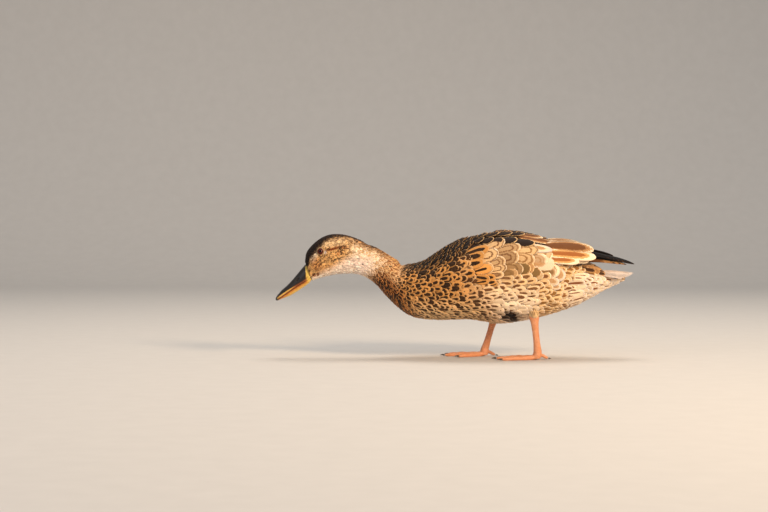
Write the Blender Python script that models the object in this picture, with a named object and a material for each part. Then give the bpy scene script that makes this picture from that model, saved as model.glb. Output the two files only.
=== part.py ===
"""A hen mallard, life size, walking with her neck stretched forward and her bill held low.

She faces -X with +Z up and her left side towards -Y. The floor is z = 0, and the origin lies on it under the
middle of her length. The outer form is that of the closed plumage. Head, neck, breast, trunk and rump are
lengths of one core that is drawn as rings along a spine; each folded wing is a shell laid over the core, and
the tail is a fan of feathers lying on the undertail coverts.
"""

import math

import bmesh
import bpy
import numpy as np
from mathutils import Matrix, Vector

MM = 0.001

# Driving dimensions, in millimetres.
GAP = 0.35            # clearance between neighbouring pieces
CORE_SIDES = 28       # facets round the body
WING_THICKNESS = 4.5
WING_GAP = 0.6        # under the wing, where its flat facets lie over the core's
EYE_RADIUS = 5.2
EYE_X, EYE_Z = -155.4, 123.4
EYE_STANDS_OUT = 1.9
SHANK_FORE_AFT, SHANK_ACROSS = 4.1, 3.1     # half sizes of the bare shank
TOES = (("inner", 38.0, 31.0), ("middle", 47.0, 1.0), ("outer", 44.0, -27.0))   # length, degrees inward
TOE_RADIUS = 2.7
WEB_THICKNESS = 1.2
WEB_HEIGHT = 0.5      # underside of the webs above the floor
WEB_SCALLOP = 0.16    # how far the web's front edge is drawn back between the toes
CLAW_LENGTH, CLAW_RADIUS = 5.5, 1.2
HIND_CLAW_LENGTH = 3.4
HIND_CLAW_SCALE = 0.8

# The core's stations: place, spine x and z, lean of the ring towards the bill in degrees, height above and
# depth below the spine along that lean, half width, and how much fuller the lower half is than the upper.
STATIONS = (
    ("bill base", -170.2, 99.5, 20.5, 9.9, 10.1, 10.2, 0.05),
    ("lores", -163.6, 105.4, 34.0, 18.4, 14.8, 13.8, 0.10),
    ("eyes", -154.0, 111.8, 28.0, 23.4, 18.4, 15.6, 0.13),
    ("cheeks", -142.0, 117.0, 15.0, 27.2, 20.6, 17.2, 0.14),
    ("back of head", -128.0, 119.0, 1.0, 24.4, 21.5, 17.6, 0.10),
    ("nape", -112.0, 117.0, -15.0, 19.4, 20.0, 17.0, 0.04),
    ("throat", -97.5, 110.4, -30.0, 18.6, 18.0, 17.0, 0.00),
    ("lower neck", -83.0, 101.0, -34.0, 18.8, 17.6, 20.0, 0.00),
    ("crop", -66.0, 90.0, -26.0, 21.4, 24.3, 28.5, 0.02),
    ("breast", -44.0, 82.0, -12.0, 31.8, 34.6, 40.0, 0.05),
    ("shoulders", -16.0, 83.0, 3.0, 42.6, 38.6, 49.5, 0.04),
    ("mantle", 14.0, 89.5, 6.0, 50.6, 44.6, 54.5, 0.03),
    ("back", 48.0, 94.5, 3.0, 52.8, 54.8, 56.0, 0.02),
    ("flanks", 82.0, 96.0, 0.0, 45.6, 52.0, 53.5, 0.02),
    ("rump front", 112.0, 96.0, -3.0, 31.0, 45.4, 46.5, 0.02),
    ("rump", 138.0, 95.0, -6.0, 19.0, 37.0, 34.0, 0.00),
    ("tail coverts", 160.0, 92.6, -8.0, 15.4, 22.4, 24.0, 0.00),
    ("undertail front", 173.0, 90.0, -4.0, 8.2, 10.6, 17.5, 0.00),
    ("undertail", 185.0, 90.8, 0.0, 5.4, 5.4, 12.0, 0.00),
    ("undertail tip", 197.0, 92.6, 0.0, 1.8, 2.2, 6.0, 0.00),
)
PLACES = {row[0]: index for index, row in enumerate(STATIONS)}

# The wing over the core: place, its upper and lower edges as angles from the top of the ring, and how high it
# stands over the core at its upper edge, in its middle and at its lower edge.
WING = (
    (PLACES["breast"] + 0.72, 63.0, 75.0, 1.3, 1.5, 1.3),
    (PLACES["shoulders"], 48.0, 84.0, 1.4, 2.3, 1.3),
    (PLACES["mantle"], 27.0, 90.0, 1.6, 3.6, 1.4),
    (PLACES["back"], 12.0, 84.0, 2.6, 4.4, 1.4),
    (PLACES["flanks"], 6.0, 76.0, 5.6, 4.8, 1.4),
    (PLACES["rump front"], 5.0, 66.0, 11.2, 7.2, 1.5),
)

# The wing behind the core's rise: x, height of its upper and lower edge, and how far each edge stands from
# the middle plane. The right wing is folded a little shorter and its tip lies higher.
BLADE = (
    (138.0, 133.0, 110.0, 6.0, 31.0),
    (150.0, 130.0, 110.2, 6.5, 27.0),
    (162.0, 126.0, 110.6, 7.0, 23.0),
    (176.0, 120.6, 110.8, 8.0, 18.0),
    (188.0, 115.6, 110.2, 9.0, 14.5),
    (198.0, 111.6, 109.0, 10.0, 12.4),
    (206.0, 108.5, 107.5, 11.0, 11.5),
)
RIGHT_TIP_LIFT, RIGHT_TIP_SHORTER = 6.0, 21.0

# Long feathers that show their tips on the wing: name, root x, y, z, tip x, y, z, and width (left wing).
WING_FEATHERS = (
    ("lower tertial", 100.0, -46.0, 117.5, 128.0, -41.0, 112.8, 10.0),
    ("middle tertial", 106.0, -38.5, 124.0, 147.0, -29.0, 113.5, 12.0),
    ("upper tertial", 110.0, -29.0, 130.5, 161.0, -19.4, 118.0, 13.0),
    ("short primary", 150.0, -22.0, 116.0, 184.0, -17.0, 108.6, 8.0),
    ("long primary", 160.0, -19.5, 115.0, 195.0, -14.0, 107.8, 7.0),
)

# The tail fan: angle of each feather from the middle, its tip's distance from the fan's root, and how far it
# lies below the middle pair.
FAN_ROOT_X, FAN_START_X = 158.0, 173.6
FAN_TIP_Z, FAN_START_Z = 96.4, 100.6          # of the middle feather
FAN_SPREAD_AT_ROOT = 0.25                     # mm sideways for each degree of a feather's angle
RECTRIX_WIDTH, LONG_FEATHER_THICKNESS = 10.5, 1.5
TAIL = ((0.0, 50.0, 0.0), (8.0, 49.0, 0.7), (16.0, 47.0, 1.6), (24.0, 44.5, 2.7), (32.0, 41.0, 4.0))

# The bill in its own frame: distance from the base along its axis, height of the culmen, of the mouth line
# and of the underside, and half width.
BILL_BASE = (-170.2, 99.5)
BILL_PITCH = 41.0     # degrees below the horizontal
BILL_FACE_LENGTH = 16.0                       # over which the rings turn from the face's lean to the bill's
JAW_SHARE = 0.84      # the lower mandible's width against the upper's
NOSTRIL = (15.0, 2.2, 7.6)                    # distance from the base, height, and place aside
NOSTRIL_RADII = (3.2, 1.6, 1.4)
NOSTRIL_TILT = 6.0    # degrees from the bill's axis
BILL = (
    (0.0, 9.7, -6.6, -10.0, 9.8),
    (5.5, 8.4, -6.3, -10.3, 9.5),
    (12.0, 6.9, -5.5, -9.8, 9.1),
    (18.5, 5.7, -4.4, -8.9, 8.9),
    (25.0, 4.9, -3.4, -8.1, 9.2),
    (32.0, 4.6, -2.6, -7.0, 10.1),
    (38.0, 4.9, -2.0, -5.3, 11.0),
    (43.0, 4.8, -1.5, -3.9, 11.0),
    (46.4, 3.9, -1.1, -2.9, 9.0),
    (48.6, 2.3, -0.9, -2.0, 5.6),
    (49.6, 0.6, -0.6, -1.4, 2.2),
)

# Each leg: side, hock and ankle as x, y, z, how far down the shank its feathers reach as a share of its
# length, and how far the foot turns inward, in degrees.
LEGS = {
    "l": (-1, (88.5, -30.0, 50.4), (93.0, -28.5, 9.0), 0.0, 5.0),
    "r": (1, (48.0, 27.0, 49.0), (35.8, 28.0, 9.0), 0.21, 5.0),
}
ANKLE_SHARE = 0.975   # where the shank ends and the foot begins, as a share of its length
THIGH_TOPS = {"l": (92.0, -25.0, 68.0), "r": (55.0, 24.0, 62.0)}
THIGH_RADIUS = 11.5

# Along the shank from hock to ankle: share of its length, then its fore-and-aft size and its width against
# those of its slender middle.
SHANK = ((0.0, 1.35, 1.30), (0.07, 1.42, 1.35), (0.20, 1.12, 1.10), (0.45, 0.94, 0.95),
         (0.75, 0.96, 1.00), (0.90, 1.10, 1.20), (ANKLE_SHARE, 1.18, 1.32))

# Along a front toe: share of its length, height of its centreline, and radius against the toe's. The joints
# swell.
TOE = ((0.0, 3.4, 1.15), (0.16, 2.5, 1.0), (0.33, 2.2, 1.12), (0.48, 2.0, 0.9),
       (0.62, 2.1, 1.02), (0.78, 1.75, 0.82), (0.88, 1.75, 0.84), (1.0, 1.6, 0.55))
TOE_CURL = 2.5        # degrees that a toe turns along its length

# The hind toe in the foot's frame: forward, inward, height, radius.
HIND_TOE = ((-2.0, 1.0, 6.2, 2.0), (-6.0, 2.0, 4.6, 2.0), (-9.0, 2.6, 2.8, 1.9), (-11.5, 3.0, 1.8, 1.3))

# The block over the toes' root, below the ankle: forward, height, then sizes against the shank's middle.
FOOT_ROOT = ((0.8, 5.0, 1.25, 1.7), (1.6, 1.4, 1.15, 1.75))


def clear_scene():
    for item in list(bpy.data.objects):
        bpy.data.objects.remove(item, do_unlink=True)


def collection_named(name):
    made = bpy.data.collections.new(name)
    bpy.context.scene.collection.children.link(made)
    return made


def material_named(name, colour, roughness):
    made = bpy.data.materials.new(name)
    made.use_nodes = True
    shader = made.node_tree.nodes["Principled BSDF"]
    shader.inputs["Base Color"].default_value = (*colour, 1.0)
    shader.inputs["Roughness"].default_value = roughness
    return made


def through(rows, at):
    """A smooth curve through rows of numbers, read at a place counted in rows."""
    rows = np.asarray(rows, float)
    last = len(rows) - 1
    at = min(max(at, 0.0), last)
    i = min(int(at), last - 1)
    t = at - i
    before, a, b, after = (rows[min(max(k, 0), last)] for k in (i - 1, i, i + 1, i + 2))
    if i == 0:
        before = 2 * a - b
    if i + 1 == last:
        after = 2 * b - a
    return 0.5 * (
        2 * a
        + (b - before) * t
        + (2 * before - 5 * a + 4 * b - after) * t**2
        + (3 * a - before - 3 * b + after) * t**3
    )


def along_rows(rows, x):
    """The rest of each row of a table, read at a value of its first column."""
    first = [row[0] for row in rows]
    return [np.interp(x, first, [row[k] for row in rows]) for k in range(1, len(rows[0]))]


def spine(at):
    """The station's numbers at a place and the direction in which its ring stands up."""
    x, z, lean, *sizes = through([row[1:] for row in STATIONS], at)
    lean = math.radians(lean)
    return (x, z, *sizes), np.array([-math.sin(lean), math.cos(lean)])


def core_point(at, angle):
    """A point of the core in millimetres: angle 0 is the top of the ring and 90 its left side."""
    (x, z, above, below, half_width, fuller), up = spine(at)
    sine, cosine = math.sin(math.radians(angle)), math.cos(math.radians(angle))
    height = (above if cosine > 0 else below) * cosine
    width = half_width * math.copysign(abs(sine) ** 0.94, sine) * (1 - fuller * cosine)
    return np.array([x + up[0] * height, -width, z + up[1] * height])


def outward(at, angle):
    """The direction away from the body, square to the core's surface."""
    along = core_point(at + 0.06, angle) - core_point(at - 0.06, angle)
    around = core_point(at, angle + 2.0) - core_point(at, angle - 2.0)
    normal = np.cross(along, around)
    normal /= np.linalg.norm(normal)
    (x, z, *_), _ = spine(at)
    return normal if normal @ (core_point(at, angle) - np.array([x, 0.0, z])) > 0 else -normal


def core_ring(at):
    return [core_point(at, 360.0 * k / CORE_SIDES) for k in range(CORE_SIDES)]


def place_at_x(x):
    """The place along the spine whose spine point has this x."""
    return float(np.interp(x, [row[1] for row in STATIONS], range(len(STATIONS))))


def mesh_object(name, points, faces, home, material, sharp=38.0):
    """An object made of points in millimetres and faces, shaded smooth but for its sharp edges."""
    mesh = bpy.data.meshes.new(name)
    mesh.from_pydata([tuple(float(c) * MM for c in p) for p in points], [], faces)
    shape = bmesh.new()
    shape.from_mesh(mesh)
    bmesh.ops.recalc_face_normals(shape, faces=shape.faces)
    shape.to_mesh(mesh)
    shape.free()
    mesh.shade_smooth()
    mesh.set_sharp_from_angle(angle=math.radians(sharp))
    mesh.materials.append(material)
    made = bpy.data.objects.new(name, mesh)
    home.objects.link(made)
    return made


def loft(name, rings, home, material):
    """A closed solid through rings that all have the same number of points."""
    sides = len(rings[0])
    points = [p for ring in rings for p in ring]
    faces = []
    for r in range(len(rings) - 1):
        for k in range(sides):
            n = (k + 1) % sides
            faces.append((r * sides + k, r * sides + n, (r + 1) * sides + n, (r + 1) * sides + k))
    faces.append(tuple(range(sides)))
    faces.append(tuple(range((len(rings) - 1) * sides, len(rings) * sides)))
    return mesh_object(name, points, faces, home, material)


def boolean(target, other, operation):
    """Joins another object to the target or cuts it away, then removes the other object."""
    modifier = target.modifiers.new(operation.title(), "BOOLEAN")
    modifier.operation = operation
    modifier.solver = "EXACT"
    modifier.object = other
    bpy.context.view_layer.update()
    graph = bpy.context.evaluated_depsgraph_get()
    mesh = bpy.data.meshes.new_from_object(target.evaluated_get(graph))
    target.modifiers.clear()
    target.data = mesh
    bpy.data.objects.remove(other, do_unlink=True)
    return target


def union(target, others):
    """Joins the others to the target, and fills any pocket that they close off between them."""
    for other in others:
        boolean(target, other, "UNION")
    shape = bmesh.new()
    shape.from_mesh(target.data)
    unseen, islands = set(shape.verts), []
    while unseen:
        front, island = [unseen.pop()], []
        while front:
            vertex = front.pop()
            island.append(vertex)
            for edge in vertex.link_edges:
                other = edge.other_vert(vertex)
                if other in unseen:
                    unseen.remove(other)
                    front.append(other)
        islands.append(island)
    islands.sort(key=len)
    for island in islands[:-1]:
        bmesh.ops.delete(shape, geom=island, context="VERTS")
    shape.to_mesh(target.data)
    shape.free()
    return target


def ball(name, centre, radius, home, material, segments=16, rings=10):
    """A sphere, or an ellipsoid when the radius is given as three numbers."""
    shape = bmesh.new()
    bmesh.ops.create_uvsphere(shape, u_segments=segments, v_segments=rings, radius=1.0)
    radii = radius if isinstance(radius, tuple) else (radius,) * 3
    bmesh.ops.scale(shape, vec=[r * MM for r in radii], verts=shape.verts)
    bmesh.ops.translate(shape, vec=[c * MM for c in centre], verts=shape.verts)
    mesh = bpy.data.meshes.new(name)
    shape.to_mesh(mesh)
    shape.free()
    mesh.shade_smooth()
    mesh.materials.append(material)
    made = bpy.data.objects.new(name, mesh)
    home.objects.link(made)
    return made


def tube(name, points, radii, home, material, sides=10):
    """A round rod through points in millimetres, with its own radius at each of them."""
    points = [Vector(p) for p in points]
    rings = []
    side = None
    for i, point in enumerate(points):
        along = (points[min(i + 1, len(points) - 1)] - points[max(i - 1, 0)]).normalized()
        side = (side or along.orthogonal()) - along * (side or along.orthogonal()).dot(along)
        side.normalize()
        other = along.cross(side)
        turns = [2 * math.pi * k / sides for k in range(sides)]
        rings.append([point + radii[i] * (side * math.cos(t) + other * math.sin(t)) for t in turns])
    return loft(name, rings, home, material)


def feather(name, root, tip, width, face, thickness, home, material, steps=6):
    """A flat feather from root to tip, its outline a leaf with a rounded end, facing a given way."""
    root, tip, face = Vector(root), Vector(tip), Vector(face)
    along = (tip - root).normalized()
    across = along.cross(face).normalized()
    face = across.cross(along).normalized()
    length = (tip - root).length
    left, right = [], []
    for i in range(steps + 1):
        t = i / steps
        t = 1 - (1 - t) ** 1.6
        half = width / 2 * (0.72 + 0.28 * math.sin(math.pi * min(t / 0.6, 1.0) / 2))
        half *= math.sqrt(max(1 - max((t - 0.70) / 0.30, 0.0) ** 2.2, 0.0015))
        bow = -0.05 * width * (half * 2 / width) ** 2
        centre = root + along * (length * t)
        left.append(centre - across * half + face * bow)
        right.append(centre + across * half + face * bow)
    outline = left + right[::-1]
    rings = [[p - face * thickness / 2 for p in outline], [p + face * thickness / 2 for p in outline]]
    return loft(name, rings, home, material)


def build_core(home, skins):
    """Head, neck, breast, trunk and rump, each ending a gap before the next."""
    cuts = {
        "head": (-169.9, -108.0, 10),
        "neck": (-108.0, -70.0, 6),
        "breast": (-70.0, 2.0, 7),
        "trunk": (2.0, 120.0, 10),
        "rump": (120.0, 197.0, 11),
    }
    made = {}
    for name, (first, last, rings) in cuts.items():
        start = place_at_x(first)
        end = place_at_x(last - (0 if name == "rump" else GAP * 1.08))
        places = [start + (end - start) * i / (rings - 1) for i in range(rings)]
        made[name] = loft(name, [core_ring(p) for p in places], home, skins[name])
    return made


def blend_of_three(values, t):
    """The parabola through three values at 0, a half and 1."""
    a, b, c = values
    return a * (1 - t) * (1 - 2 * t) + 4 * b * t * (1 - t) + c * t * (2 * t - 1)


def wing_ring_on_core(at, side, steps):
    """The wing's section over the core: its outer face from the upper edge down, then its inner face back."""
    top, low, *rise = along_rows(WING, at)
    outer, inner = [], []
    for i in range(steps + 1):
        t = i / steps
        angle = (top + (low - top) * t) * -side
        height = blend_of_three(rise, t)
        point, normal = core_point(at, angle), outward(at, angle)
        outer.append(point + normal * height)
        inner.append(point + normal * max(height - WING_THICKNESS, WING_GAP))
    return outer + inner[::-1]


def wing_ring_free(x, side, steps):
    """The wing's section behind the core's rise, bowed outward between its edges."""
    high, low, near, far = along_rows(BLADE, x)
    first, last = BLADE[0][0], BLADE[-1][0]
    share = (x - first) / (last - first)
    if side > 0:
        high, low = (z + RIGHT_TIP_LIFT * share for z in (high, low))
        x = first + (x - first) * (1 - RIGHT_TIP_SHORTER / (last - first))
    thick = WING_THICKNESS * (1 - share) * 0.8 + 1.1
    outer, inner = [], []
    for i in range(steps + 1):
        t = i / steps
        bow = math.sin(math.pi * t) * (1 - share)
        y, z = near + (far - near) * t + 4.5 * bow, high + (low - high) * t + 3.5 * bow
        outer.append(np.array([x, side * y, z]))
        inner.append(np.array([x - 0.2, side * (y - thick * 0.6), z - thick * (0.8 - 0.5 * t)]))
    return outer + inner[::-1]


def build_wing(tag, side, home, material):
    steps = 7
    first, last = WING[0][0], WING[-1][0]
    places = [first + (last - first) * i / 10 for i in range(11)]
    rings = [wing_ring_on_core(p, side, steps) for p in places]
    rings += [wing_ring_free(row[0], side, steps) for row in BLADE]
    wing = loft(f"wing_{tag}", rings, home, material)
    feathers = []
    for name, x0, y0, z0, x1, y1, z1, width in WING_FEATHERS:
        if side > 0:
            y0, y1 = -y0, -y1
            if "primary" in name:
                x0, x1, z0, z1 = x0 - 8, x1 - RIGHT_TIP_SHORTER, z0 + 1, z1 + RIGHT_TIP_LIFT
        face = (0.0, side * 0.8, 0.6)
        thickness = LONG_FEATHER_THICKNESS
        feathers.append(feather(name, (x0, y0, z0), (x1, y1, z1), width, face, thickness, home, material))
    return union(wing, feathers)


def build_tail(home, material):
    """The fan: the middle feather on top, its neighbours slipping under it on both sides."""
    feathers = []
    for angle, reach, drop in TAIL:
        for way in ((0,) if angle == 0 else (-1, 1)):
            turn = math.radians(angle * way)
            aside = FAN_SPREAD_AT_ROOT * angle * way
            start = (FAN_START_X - FAN_ROOT_X) * math.tan(turn)
            tip_x, tip_y = FAN_ROOT_X + reach * math.cos(turn), aside + reach * math.sin(turn)
            root = (FAN_START_X, aside + start, FAN_START_Z - drop * 0.35)
            tip = (tip_x, tip_y, FAN_TIP_Z - drop)
            face = (0.1, math.sin(turn) * 0.5, 1.0)
            thickness = LONG_FEATHER_THICKNESS
            feathers.append(feather("rectrix", root, tip, RECTRIX_WIDTH, face, thickness, home, material))
    tail = feathers[0]
    tail.name = "tail"
    return union(tail, feathers[1:])


def bill_place(distance, height):
    """A point of the bill's middle plane: the face at its base leans less than its axis is pitched."""
    lean = math.radians(STATIONS[0][3] + (BILL_PITCH - STATIONS[0][3]) * min(distance / BILL_FACE_LENGTH, 1.0))
    pitch = math.radians(BILL_PITCH)
    x = BILL_BASE[0] - math.cos(pitch) * distance - math.sin(lean) * height
    z = BILL_BASE[1] - math.sin(pitch) * distance + math.cos(lean) * height
    return x, z


def mandible_ring(distance, mouth, edge, half, fullness, sides=10):
    """A ring of the bill: an arch from one side of the mouth line over the edge to the other, and back flat."""
    height, width = fullness
    ring = []
    for k in range(sides + 1):
        turn = math.radians(-90 + 180 * k / sides)
        rise = max(math.cos(turn), 0.0) ** height
        x, z = bill_place(distance, mouth + (edge - mouth) * rise)
        ring.append((x, half * math.copysign(abs(math.sin(turn)) ** width, math.sin(turn)), z))
    for share in (0.6, 0.0, -0.6):
        x, z = bill_place(distance, mouth + (0.5 if edge > mouth else 0.0))
        ring.append((x, half * share, z))
    return ring


def build_bill(home, horn, orange):
    """Upper and lower mandible, parted along the mouth line."""
    upper, lower = [], []
    for distance, culmen, mouth, under, half in BILL:
        distance += GAP + 0.1
        narrow = 0.55 + 0.40 * min(distance / 36.0, 1.0)     # keeled at its base, flat at its tip
        upper.append(mandible_ring(distance, mouth, culmen, half, (narrow, 1.6 - narrow)))
        jaw_top = mouth - GAP
        jaw_edge = jaw_top - max(jaw_top - under, 0.5)
        lower.append(mandible_ring(distance, jaw_top, jaw_edge, half * JAW_SHARE, (0.8, 1.0)))
    top = loft("bill_upper", upper, home, horn)
    for side in (-1, 1):
        x, z = bill_place(*NOSTRIL[:2])
        centre = Vector((x, side * NOSTRIL[2], z)) * MM
        nostril = ball("nostril", centre / MM, NOSTRIL_RADII, home, horn, 12, 8)
        turn = Matrix.Rotation(math.radians(BILL_PITCH - NOSTRIL_TILT), 3, "Y")
        for vertex in nostril.data.vertices:
            vertex.co = centre + turn.inverted() @ (vertex.co - centre)
        boolean(top, nostril, "DIFFERENCE")
    return top, loft("bill_lower", lower[:-1], home, orange)


def build_eyes(head, home, material):
    """Each eye is a ball in a socket that clears it."""
    at = min((core_gap_to_eye(p), p) for p in np.linspace(1.0, 4.0, 121))[1]
    angle = min((abs(core_point(at, a)[2] - EYE_Z), a) for a in range(20, 100))[1]
    surface = core_point(at, angle)
    centre_y = abs(surface[1]) - (EYE_RADIUS - EYE_STANDS_OUT)
    for tag, side in (("l", -1), ("r", 1)):
        centre = (EYE_X, side * centre_y, EYE_Z)
        socket = ball("socket", centre, EYE_RADIUS + GAP, home, material, 16, 10)
        boolean(head, socket, "DIFFERENCE")
        ball(f"eye_{tag}", centre, EYE_RADIUS, home, material, 14, 10)


def core_gap_to_eye(at):
    """How far the ring at a place misses the eye, seen from the side."""
    (x, z, *_), up = spine(at)
    return abs((EYE_X - x) * up[1] - (EYE_Z - z) * up[0])


def foot_to_world(ankle, side, turn, forward, inward, height):
    """From the foot's own frame to the world: forward is -X, inward is towards the middle plane."""
    angle = math.radians(turn)
    x = ankle[0] - forward * math.cos(angle) + inward * math.sin(angle)
    y = ankle[1] - side * (inward * math.cos(angle) + forward * math.sin(angle))
    return (x, y, height)


def leg_section(centre, fore_aft, across, sides=12):
    """A level ellipse, its sizes given against the shank's slender middle."""
    turns = [2 * math.pi * k / sides for k in range(sides)]
    wide, deep = SHANK_FORE_AFT * fore_aft, SHANK_ACROSS * across
    return [centre + Vector((wide * math.cos(a), deep * math.sin(a), 0.0)) for a in turns]


def build_shank(tag, home, orange):
    """Thick at the hock, slender in its middle, thicker again over the toes' root."""
    _, hock, ankle, bare, _ = LEGS[tag]
    rings = []
    for share, fore_aft, across in SHANK:
        if share >= bare - 0.02:
            centre = Vector(hock).lerp(Vector(ankle), max(share, bare))
            rings.append(leg_section(centre, fore_aft, across))
    return loft(f"shank_{tag}", rings, home, orange)


def toe_line(place, length, inward):
    """A front toe's centreline and radii, from the foot's root to the claw."""
    heading = math.radians(inward)
    first = 2.0
    points, radii = [], []
    for share, height, radius in TOE:
        turn = heading + math.radians(TOE_CURL * share * (1 if inward < 0 else -1))
        reach = first + (length - first) * share
        points.append(place(reach * math.cos(turn), reach * math.sin(turn), height))
        radii.append(TOE_RADIUS * radius)
    return points, radii


def cut_at_floor(foot, home):
    """Cuts away what lies below the floor, so that the sole is flat."""
    depth = 0.1
    block = bmesh.new()
    bmesh.ops.create_cube(block, size=2 * depth)
    middle = sum((vertex.co for vertex in foot.data.vertices), Vector()) / len(foot.data.vertices)
    bmesh.ops.translate(block, vec=(middle.x, middle.y, -depth), verts=block.verts)
    mesh = bpy.data.meshes.new("below_floor")
    block.to_mesh(mesh)
    block.free()
    cutter = bpy.data.objects.new("below_floor", mesh)
    home.objects.link(cutter)
    boolean(foot, cutter, "DIFFERENCE")


def build_leg(tag, home, orange, horn):
    """The bare shank, the foot with its webs, and the four claws."""
    build_shank(tag, home, orange)
    side, hock, ankle, _, turn = LEGS[tag]

    def place(forward, inward, height):
        return foot_to_world(ankle, side, turn, forward, inward, height)

    top = Vector(hock).lerp(Vector(ankle), ANKLE_SHARE).z - GAP - 0.1
    block = [leg_section(Vector((ankle[0], ankle[1], top)), *SHANK[-1][1:])]
    for forward, height, fore_aft, across in FOOT_ROOT:
        block.append(leg_section(Vector(place(forward, 0, height)), fore_aft, across))
    foot = loft(f"foot_{tag}", block, home, orange)
    parts, claws, lines = [], [], {}
    for name, length, inward in TOES:
        points, radii = toe_line(place, length, inward)
        lines[name] = points
        parts.append(tube(f"toe_{name}", points, radii, home, orange))
        tip, back = Vector(points[-1]), Vector(points[-2])
        along = (tip - back).normalized()
        claws.append((name, claw_line(tip + along * GAP, along, CLAW_LENGTH, arch=0.6), 1.0))
    hind = [place(*row[:3]) for row in HIND_TOE]
    parts.append(tube("toe_hind", hind, [row[3] for row in HIND_TOE], home, orange))
    along = (Vector(hind[-1]) - Vector(hind[-2])).normalized()
    along.z *= 0.3
    start = Vector(hind[-1]) + along * (GAP + 0.3)
    claws.append(("hind", claw_line(start, along, HIND_CLAW_LENGTH, arch=0.0), HIND_CLAW_SCALE))
    union(foot, parts)
    for inner, outer in (("inner", "middle"), ("middle", "outer")):
        union(foot, [build_web(lines[inner], lines[outer], place, home, orange)])
    cut_at_floor(foot, home)
    for name, line, scale in claws:
        radii = [CLAW_RADIUS * scale, CLAW_RADIUS * 0.72 * scale, 0.3]
        tube(f"claw_{tag}_{name}", line, radii, home, horn, sides=8)


def claw_line(start, along, length, arch):
    """A claw's centreline, raised in its middle and back down at its point."""
    middle, point = start + along * length * 0.53, start + along * length
    middle.z += arch
    point.z += arch / 6
    return [start, middle, point]


def build_web(one, other, place, home, material):
    """A thin sheet between two toes whose front edge is drawn back in its middle."""
    heel = Vector(place(3.0, 0.0, 0.0))
    a, b = Vector(one[-2]), Vector(other[-2])
    edge = []
    for i in range(7):
        t = i / 6
        straight = a.lerp(b, t)
        back = heel - straight
        edge.append(straight + back * WEB_SCALLOP * math.sin(math.pi * t))
    outline = [heel, *[Vector(p) for p in one[2:-2]], *edge, *[Vector(p) for p in other[-3:1:-1]]]
    low = [Vector((p.x, p.y, WEB_HEIGHT)) for p in outline]
    high = [Vector((p.x, p.y, WEB_HEIGHT + WEB_THICKNESS)) for p in outline]
    return loft("web", [low, high], home, material)


def build_thigh(tag, home, material):
    """The feathered end of the leg, a short boss under the belly that stops just above the bare shank."""
    side, hock, ankle, bare, _ = LEGS[tag]
    top, low = Vector(THIGH_TOPS[tag]), Vector(hock).lerp(Vector(ankle), bare)
    stop = low + Vector((0, 0, GAP + 0.1))
    rings = []
    for share, width in ((0.0, 1.0), (0.4, 0.98), (0.72, 0.80), (1.0, 0.56)):
        centre = top.lerp(stop, share)
        turns = [2 * math.pi * k / 14 for k in range(14)]
        radius = THIGH_RADIUS * width
        rings.append([centre + Vector((radius * math.cos(t), radius * 0.85 * math.sin(t), 0)) for t in turns])
    return loft(f"thigh_{tag}", rings, home, material)


def centre_on_origin(home):
    """Puts the middle of the form's length and width over the origin, its lowest point on the floor."""
    pieces = [item for item in home.objects if item.type == "MESH"]
    places = np.array([vertex.co for item in pieces for vertex in item.data.vertices])
    low, high = places.min(axis=0), places.max(axis=0)
    shift = Vector((-(low[0] + high[0]) / 2, -(low[1] + high[1]) / 2, -low[2]))
    for item in pieces:
        for vertex in item.data.vertices:
            vertex.co += shift
    return shift


def main():
    clear_scene()
    home = collection_named("hen_mallard")
    buff = material_named("plumage_buff", (0.36, 0.25, 0.15), 0.9)
    brown = material_named("plumage_brown", (0.12, 0.075, 0.045), 0.85)
    pale = material_named("plumage_pale", (0.55, 0.43, 0.30), 0.9)
    orange = material_named("scaled_orange_skin", (0.72, 0.22, 0.03), 0.5)
    horn = material_named("dark_horn", (0.05, 0.035, 0.025), 0.4)
    eye = material_named("eye_dark", (0.02, 0.008, 0.005), 0.08)

    skins = {"head": buff, "neck": buff, "breast": brown, "trunk": buff, "rump": buff}
    core = build_core(home, skins)
    for tag in LEGS:
        union(core["trunk"], [build_thigh(tag, home, buff)])
    build_eyes(core["head"], home, eye)
    build_bill(home, horn, orange)
    for tag, side in (("l", -1), ("r", 1)):
        build_wing(tag, side, home, brown)
        build_leg(tag, home, orange, horn)
    build_tail(home, pale)
    shift = centre_on_origin(home)
    print("moved onto the origin by", tuple(round(c / MM, 2) for c in shift), "mm")


main()
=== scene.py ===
# %% [markdown]
# # A hen mallard, walking with her neck stretched forward
#
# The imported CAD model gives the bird's outer form, part by part. This file dresses it: a skin under the
# plumage, several thousand feathers laid over the skin in the order in which they grow, the long feathers
# of the wings and the tail, and the bare parts: bill, eyes, legs and claws. She faces -X, with her left
# side towards -Y. Lengths are millimetres in every formula, and become metres when a mesh is made.

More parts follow.
